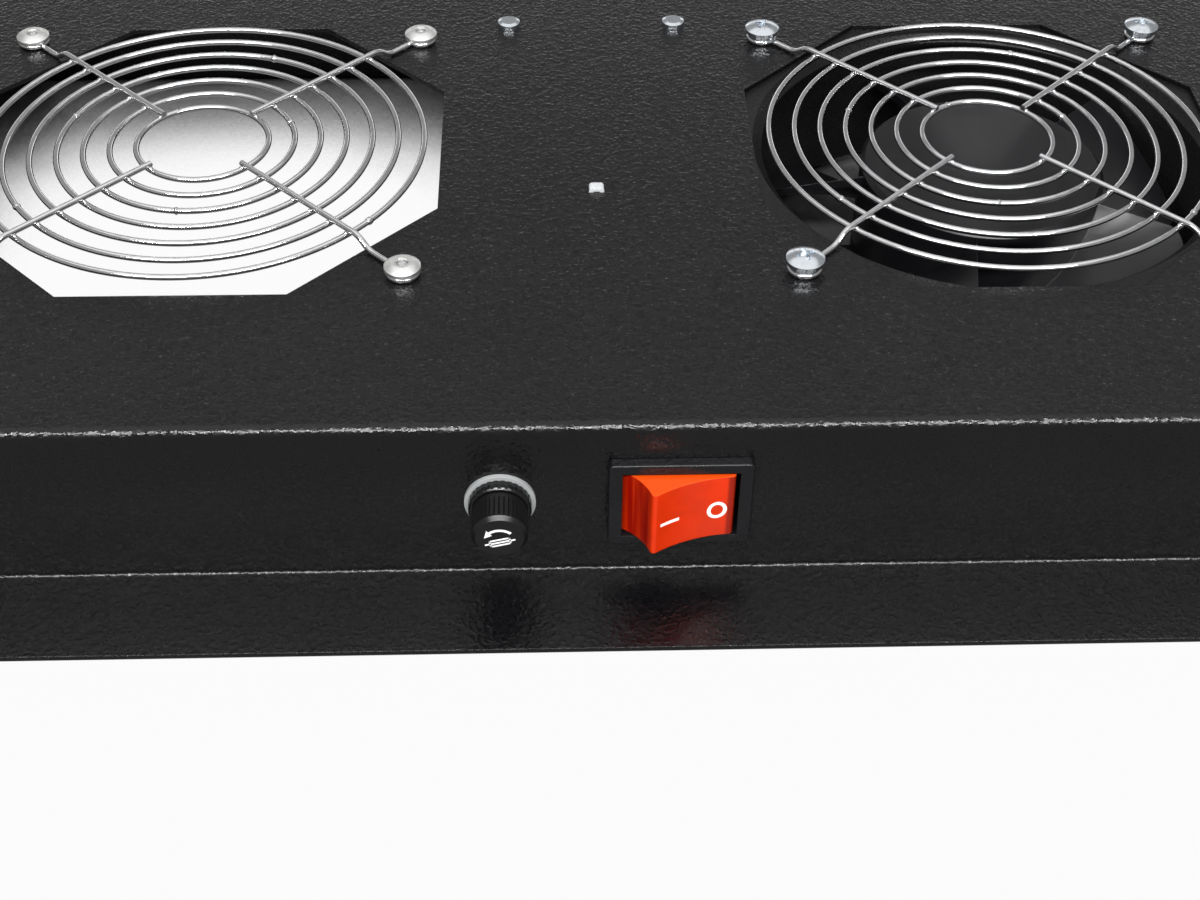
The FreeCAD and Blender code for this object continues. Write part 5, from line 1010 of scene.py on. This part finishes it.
@dataclass
class SwitchMarks:
    """The ON and OFF marks printed on the rocker's hollow face."""

    pivot: Vector = field(default_factory=lambda: hinge_point("rocker_tilt"))
    ridge_radius: float = 13.3 * MM
    ridge_angle: float = 47.5
    dish: float = 34.0 * MM
    tilt: float = 18.7
    ink: float = 0.04 * MM
    width: float = 0.84 * MM
    level: float = -0.9 * MM
    bar: tuple[float, float] = (-7.7 * MM, -3.1 * MM)
    ring_at: float = 5.65 * MM
    ring_reach: tuple[float, float] = (1.80 * MM, 2.0 * MM)
    bar_steps: int = 6
    ring_steps: int = 48

    def face(self, along: float, up: float, proud: float) -> Vector:
        """A point on the rocker's face.

        Args:
            along: Distance from the face's middle towards the right ridge.
            up: Height over the rocker's middle.
            proud: Height over the face.

        Returns:
            The point in the tray's frame.
        """
        chord_y = -self.ridge_radius * math.cos(math.radians(self.ridge_angle))
        half = self.ridge_radius * math.sin(math.radians(self.ridge_angle))
        sag = math.sqrt(self.dish**2 - along**2) - math.sqrt(self.dish**2 - half**2)
        point = Vector((along, chord_y + sag - proud, up))
        return self.pivot + turn_z(point, self.tilt)

    def strip(self, piece: Workpiece, line: Line, width: float, closed: bool) -> None:
        """Prints a line of even width.

        Args:
            piece: The piece that the print is added to.
            line: (along, up) of the line's points.
            width: The line's width.
            closed: Whether it is a loop.
        """
        rings = []
        count = len(line)
        for i, (x, z) in enumerate(line):
            bx, bz = line[i - 1] if i or closed else line[i]
            ax, az = line[(i + 1) % count] if i + 1 < count or closed else line[i]
            ahead = Vector((ax - bx, az - bz)).normalized()
            side = Vector((-ahead.y, ahead.x)) * width / 2
            rings.append(
                [
                    self.face(x + side.x, z + side.y, -self.ink / 2),
                    self.face(x + side.x, z + side.y, self.ink),
                    self.face(x - side.x, z - side.y, self.ink),
                    self.face(x - side.x, z - side.y, -self.ink / 2),
                ]
            )
        piece.skin(rings, closed, True)

    def build(self) -> None:
        """Prints the bar and the ring."""
        bar = Workpiece("mark_on")
        start, end = self.bar
        places = [start + (end - start) * k / self.bar_steps for k in range(self.bar_steps + 1)]
        self.strip(bar, [(along, self.level) for along in places], self.width, False)
        bar.fit(Body.ROCKER, WHITE_INK)
        ring = Workpiece("mark_off")
        across, tall = self.ring_reach
        turns = [2 * math.pi * k / self.ring_steps for k in range(self.ring_steps)]
        line = [(self.ring_at + across * math.cos(a), self.level + tall * math.sin(a)) for a in turns]
        self.strip(ring, line, self.width, True)
        ring.fit(Body.ROCKER, WHITE_INK)


@dataclass
class CapMarks:
    """The turning arrow and the fuse sign printed on the cap's end face."""

    radius: float = 3.6 * MM
    drop: float = -1.35 * MM
    start: float = 48.0
    end: float = 128.0
    head: float = 30.0
    bow_steps: int = 12
    width: float = 0.62 * MM
    ink: float = 0.04 * MM
    sign: tuple[float, float] = (4.4 * MM, 1.6 * MM)
    sign_line: float = 0.4 * MM
    sign_at: tuple[float, float] = (0.1 * MM, -1.3 * MM)
    sign_turn: float = 14.0
    sign_leads: float = 0.72

    def seat(self) -> Matrix:
        """Finds the end face.

        Returns:
            Its frame: X to the right and Y up as seen from the front, Z out of the face.
        """
        low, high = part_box("fuse_cap")
        middle = Vector(((low.x + high.x) / 2, low.y, (low.z + high.z) / 2))
        turn = Matrix(((1, 0, 0), (0, 0, -1), (0, 1, 0))).to_4x4()
        return Matrix.Translation(middle) @ turn

    def bow(self, reach: float, degrees: float) -> tuple[float, float]:
        """A point of the arrow, from its bow's middle."""
        angle = math.radians(degrees)
        return reach * math.cos(angle), self.drop + reach * math.sin(angle)

    def arrow(self, seat: Matrix) -> None:
        """Prints the arrow: a bow with a head at its end.

        Args:
            seat: The frame of the end face.
        """
        inner, outer = self.radius - self.width / 2, self.radius + self.width / 2
        step = (self.end - self.start) / self.bow_steps
        turns = [self.start + step * k for k in range(self.bow_steps + 1)]
        edge = [self.bow(outer, a) for a in turns]
        edge += [self.bow(outer + self.width, self.end), self.bow(self.radius, self.end + self.head)]
        edge.append(self.bow(inner - self.width, self.end))
        edge += [self.bow(inner, a) for a in reversed(turns)]
        piece = Workpiece("cap_arrow")
        piece.slab(edge, -self.ink / 2, self.ink, seat)
        piece.fit(Body.CAP, WHITE_INK)

    def fuse_sign(self, seat: Matrix) -> None:
        """Prints the sign: a box with a line through it.

        Args:
            seat: The frame of the end face.
        """
        half_long, half_tall = self.sign[0] / 2, self.sign[1] / 2
        leads = self.sign[0] * self.sign_leads
        bars = (
            ((-half_long, -half_tall), (half_long, -half_tall)),
            ((-half_long, half_tall), (half_long, half_tall)),
            ((-half_long, -half_tall), (-half_long, half_tall)),
            ((half_long, -half_tall), (half_long, half_tall)),
            ((-leads, 0), (leads, 0)),
        )
        turn = Matrix.Rotation(math.radians(self.sign_turn), 4, "Z")
        place = seat @ Matrix.Translation((*self.sign_at, 0)) @ turn
        pad = self.sign_line / 2
        piece = Workpiece("cap_fuse_sign")
        for (left, low), (right, high) in bars:
            corners = [
                (left - pad, low - pad),
                (right + pad, low - pad),
                (right + pad, high + pad),
                (left - pad, high + pad),
            ]
            piece.slab(corners, -self.ink / 2, self.ink, place)
        piece.fit(Body.CAP, WHITE_INK)

    def build(self) -> None:
        """Prints the arrow and the sign."""
        seat = self.seat()
        self.arrow(seat)
        self.fuse_sign(seat)


def corner_axes(node: str, inset: float) -> list[Vector]:
    """Finds the axes of four like fasteners at the corners of one node's box.

    Args:
        node: The CAD node.
        inset: How far each axis lies in from the box's sides.

    Returns:
        A point on each axis, at the height of the node's top.
    """
    low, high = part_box(node)
    across, deep = (low.x + inset, high.x - inset), (low.y + inset, high.y - inset)
    return [Vector((x, y, high.z)) for x in across for y in deep]


@dataclass
class RivetStubs:
    """Broken mandrel ends that stay in the hollow rivets."""

    inset: float = 4.3 * MM
    radius: float = 1.42 * MM
    sunk: float = 0.75 * MM
    deep: float = 3.0 * MM
    dimple: float = 0.25 * MM
    worn: float = 0.15 * MM
    tip: float = 0.02 * MM

    def build(self) -> None:
        """Sets one stub in each rivet."""
        profile = [
            (self.tip, -self.deep),
            (self.radius, -self.deep),
            (self.radius, -self.worn),
            (self.radius * 0.72, 0.0),
            (self.radius * 0.35, -self.dimple),
            (self.tip, -self.dimple * 0.8),
        ]
        stubs = Workpiece("rivet_mandrel_stubs")
        for axis in corner_axes("guard_rivets", self.inset):
            stubs.turned(profile, Matrix.Translation((axis.x, axis.y, axis.z - self.sunk)), 24)
        stubs.fit(Body.TRAY, MANDREL)


@dataclass
class Threads:
    """Rolled threads on the ends of the fan screws."""

    pitch: float = 0.7 * MM
    radius: float = 2.0 * MM
    depth: float = 0.09 * MM
    inset: float = 4.55 * MM
    under_nut: float = 0.1 * MM
    blank_tip: float = 0.75 * MM
    turn_steps: int = 20

    def thread(self, name: str, axes: Iterable[Vector], top: float, bottom: float) -> None:
        """Winds a thread on each shank.

        Args:
            name: The piece's name.
            axes: A point on the axis of each shank.
            top: Where the thread starts.
            bottom: Where it ends.
        """
        piece = Workpiece(name)
        steps = max(12, int((top - bottom) / self.pitch * self.turn_steps))
        for axis in axes:
            path = []
            for k in range(steps + 1):
                angle = 2 * math.pi * k / self.turn_steps
                x, y = axis.x + self.radius * math.cos(angle), axis.y + self.radius * math.sin(angle)
                path.append(Vector((x, y, top - (top - bottom) * k / steps)))
            piece.tube(path, self.depth, 5)
        piece.fit(Body.TRAY, ZINC)

    def build(self) -> None:
        """Threads the fan screws' ends below their nuts."""
        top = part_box("fan_nuts")[0].z - self.under_nut
        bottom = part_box("fan_screws")[0].z + self.blank_tip
        self.thread("fan_screw_threads", corner_axes("fan_screws", self.inset), top, bottom)


# ---------------------------------------------------------------------------------------
# Studio
# ---------------------------------------------------------------------------------------
@dataclass
class Viewpoint:
    """The camera."""

    at: Vector = field(default_factory=lambda: Vector((-14.253, -390.755, 300.879)) * MM)
    yaw: float = 0.0410
    pitch: float = 0.7462
    roll: float = 0.0147
    lens: float = 54.702
    sensor: float = 36.0

    def build(self) -> None:
        """Makes the camera and gives it to the scene."""
        level, fall = math.cos(self.pitch), -math.sin(self.pitch)
        ahead = Vector((math.sin(self.yaw) * level, math.cos(self.yaw) * level, fall))
        right = Vector((math.cos(self.yaw), -math.sin(self.yaw), 0))
        up = right.cross(ahead)
        tilted = right * math.cos(self.roll) + up * math.sin(self.roll)
        upright = up * math.cos(self.roll) - right * math.sin(self.roll)
        data = bpy.data.cameras.new("camera")
        data.lens, data.sensor_width = self.lens, self.sensor
        data.clip_start, data.clip_end = 0.01, 50.0
        camera = bpy.data.objects.new("camera", data)
        turn = Matrix((tilted, upright, -ahead)).transposed().to_4x4()
        camera.matrix_world = Matrix.Translation(self.at) @ turn
        bpy.context.scene.collection.objects.link(camera)
        bpy.context.scene.camera = camera
        log.info("camera with a %.1f mm lens", self.lens)


@dataclass
class Lamp:
    """A soft box."""

    name: str
    at: Place
    aim: Place
    size: tuple[float, float]
    power: float

    def build(self) -> None:
        """Hangs the lamp and aims it."""
        data = bpy.data.lights.new(self.name, "AREA")
        data.shape = "RECTANGLE"
        data.size, data.size_y = self.size
        data.energy = self.power
        lamp = bpy.data.objects.new(self.name, data)
        lamp.location = self.at
        lamp.rotation_mode = "QUATERNION"
        lamp.rotation_quaternion = (Vector(self.aim) - Vector(self.at)).to_track_quat("-Z", "Y")
        bpy.context.scene.collection.objects.link(lamp)
        log.info("lamp %s", self.name)


@dataclass
class Studio:
    """White floor, even surround and soft boxes."""

    surround: float = 0.20
    mirrored: float = 0.15
    bounced: float = 0.36
    floor_half: float = 4.0
    floor_tone: float = 0.10
    floor_white: float = 0.96
    floor_gap: float = 0.05 * MM
    shadow_reach: float = 60 * MM
    shadow_ends: tuple[float, float] = (0.28, 0.56)
    lamps: Sequence[Lamp] = (
        Lamp("front strip", (0.0, -0.95, 1.02), (0.0, -0.1, 0.0), (1.8, 0.09), 38.0),
        Lamp("overhead box", (0.0, 0.22, 1.20), (0.0, 0.22, 0.0), (1.8, 1.4), 5.4),
        Lamp("low rear box", (0.0, 1.70, 0.36), (0.0, 0.0, 0.0), (2.6, 0.30), 3.0),
    )

    def floor(self) -> None:
        """Lays the floor; it glows white where nothing lies close above it, ambient occlusion paints a shadow into
        that white under and beside the object, and its small lit share keeps the lamps' shadow.
        """
        half, level = self.floor_half, min(0.0, CAD_BOX[0].z) - self.floor_gap
        mesh = bpy.data.meshes.new("floor")
        corners = [(-half, -half, level), (half, -half, level), (half, half, level), (-half, half, level)]
        mesh.from_pydata(corners, [], [(0, 1, 2, 3)])
        piece = bpy.data.objects.new("floor", mesh)
        bpy.context.scene.collection.objects.link(piece)
        bench = Bench("floor white")
        bench.shade(Base_Color=(self.floor_tone,) * 3 + (1.0,), Roughness=0.9, Specular_IOR_Level=0.1)
        below = bench.add("ShaderNodeNewGeometry", out="Backfacing")
        glow = bench.add("ShaderNodeEmission", {}, {"Color": (1.0, 1.0, 1.0, 1.0), "Strength": 1.0})
        clear = bench.add("ShaderNodeBsdfTransparent")
        reach = {"Distance": self.shadow_reach}
        # Painted shadow: ambient occlusion fades the floor's white glow to its dark lit tone where the object lies
        # close above it.
        open_sky = bench.add("ShaderNodeAmbientOcclusion", {"samples": 16}, reach, "AO")
        bounce = bench.add("ShaderNodeLightPath", out="Is Diffuse Ray") * self.bounced
        white = open_sky.ease(*self.shadow_ends, 0.0, self.floor_white)
        share = bench.seen(self.mirrored) * white + bounce
        tone = Signal(bench, bench.surface.outputs[0])
        lit = bench.add("ShaderNodeMixShader", {}, {0: share, 1: tone, 2: glow})
        bench.show(bench.add("ShaderNodeMixShader", {}, {0: below, 1: lit, 2: clear}))
        mesh.materials.append(bench.material)

    def surroundings(self) -> None:
        """Sets the even surround, white to the eye."""
        world = bpy.data.worlds.new("surround")
        bpy.context.scene.world = world
        bench = Bench("surround", world)
        tone = bench.seen(self.mirrored) * (1 - self.surround) + self.surround
        bench.feed(bench.surface.inputs["Color"], (1.0, 1.0, 1.0, 1.0))
        bench.feed(bench.surface.inputs["Strength"], tone)

    def build(self) -> None:
        """Sets up floor, surround and lamps."""
        bpy.context.scene.view_settings.view_transform = "Standard"
        self.floor()
        self.surroundings()
        for lamp in self.lamps:
            lamp.build()


def main() -> None:
    """Builds the studio and every sub-assembly in order."""
    logging.basicConfig(level=logging.INFO, format="%(name)s: %(message)s")
    marks = (SwitchMarks(), CapMarks())
    for part in (Viewpoint(), Carried(), FingerGuards(), *marks, RivetStubs(), Threads(), Studio()):
        part.build()
        log.info("%s done", type(part).__name__)


if __name__ == "__main__":
    main()
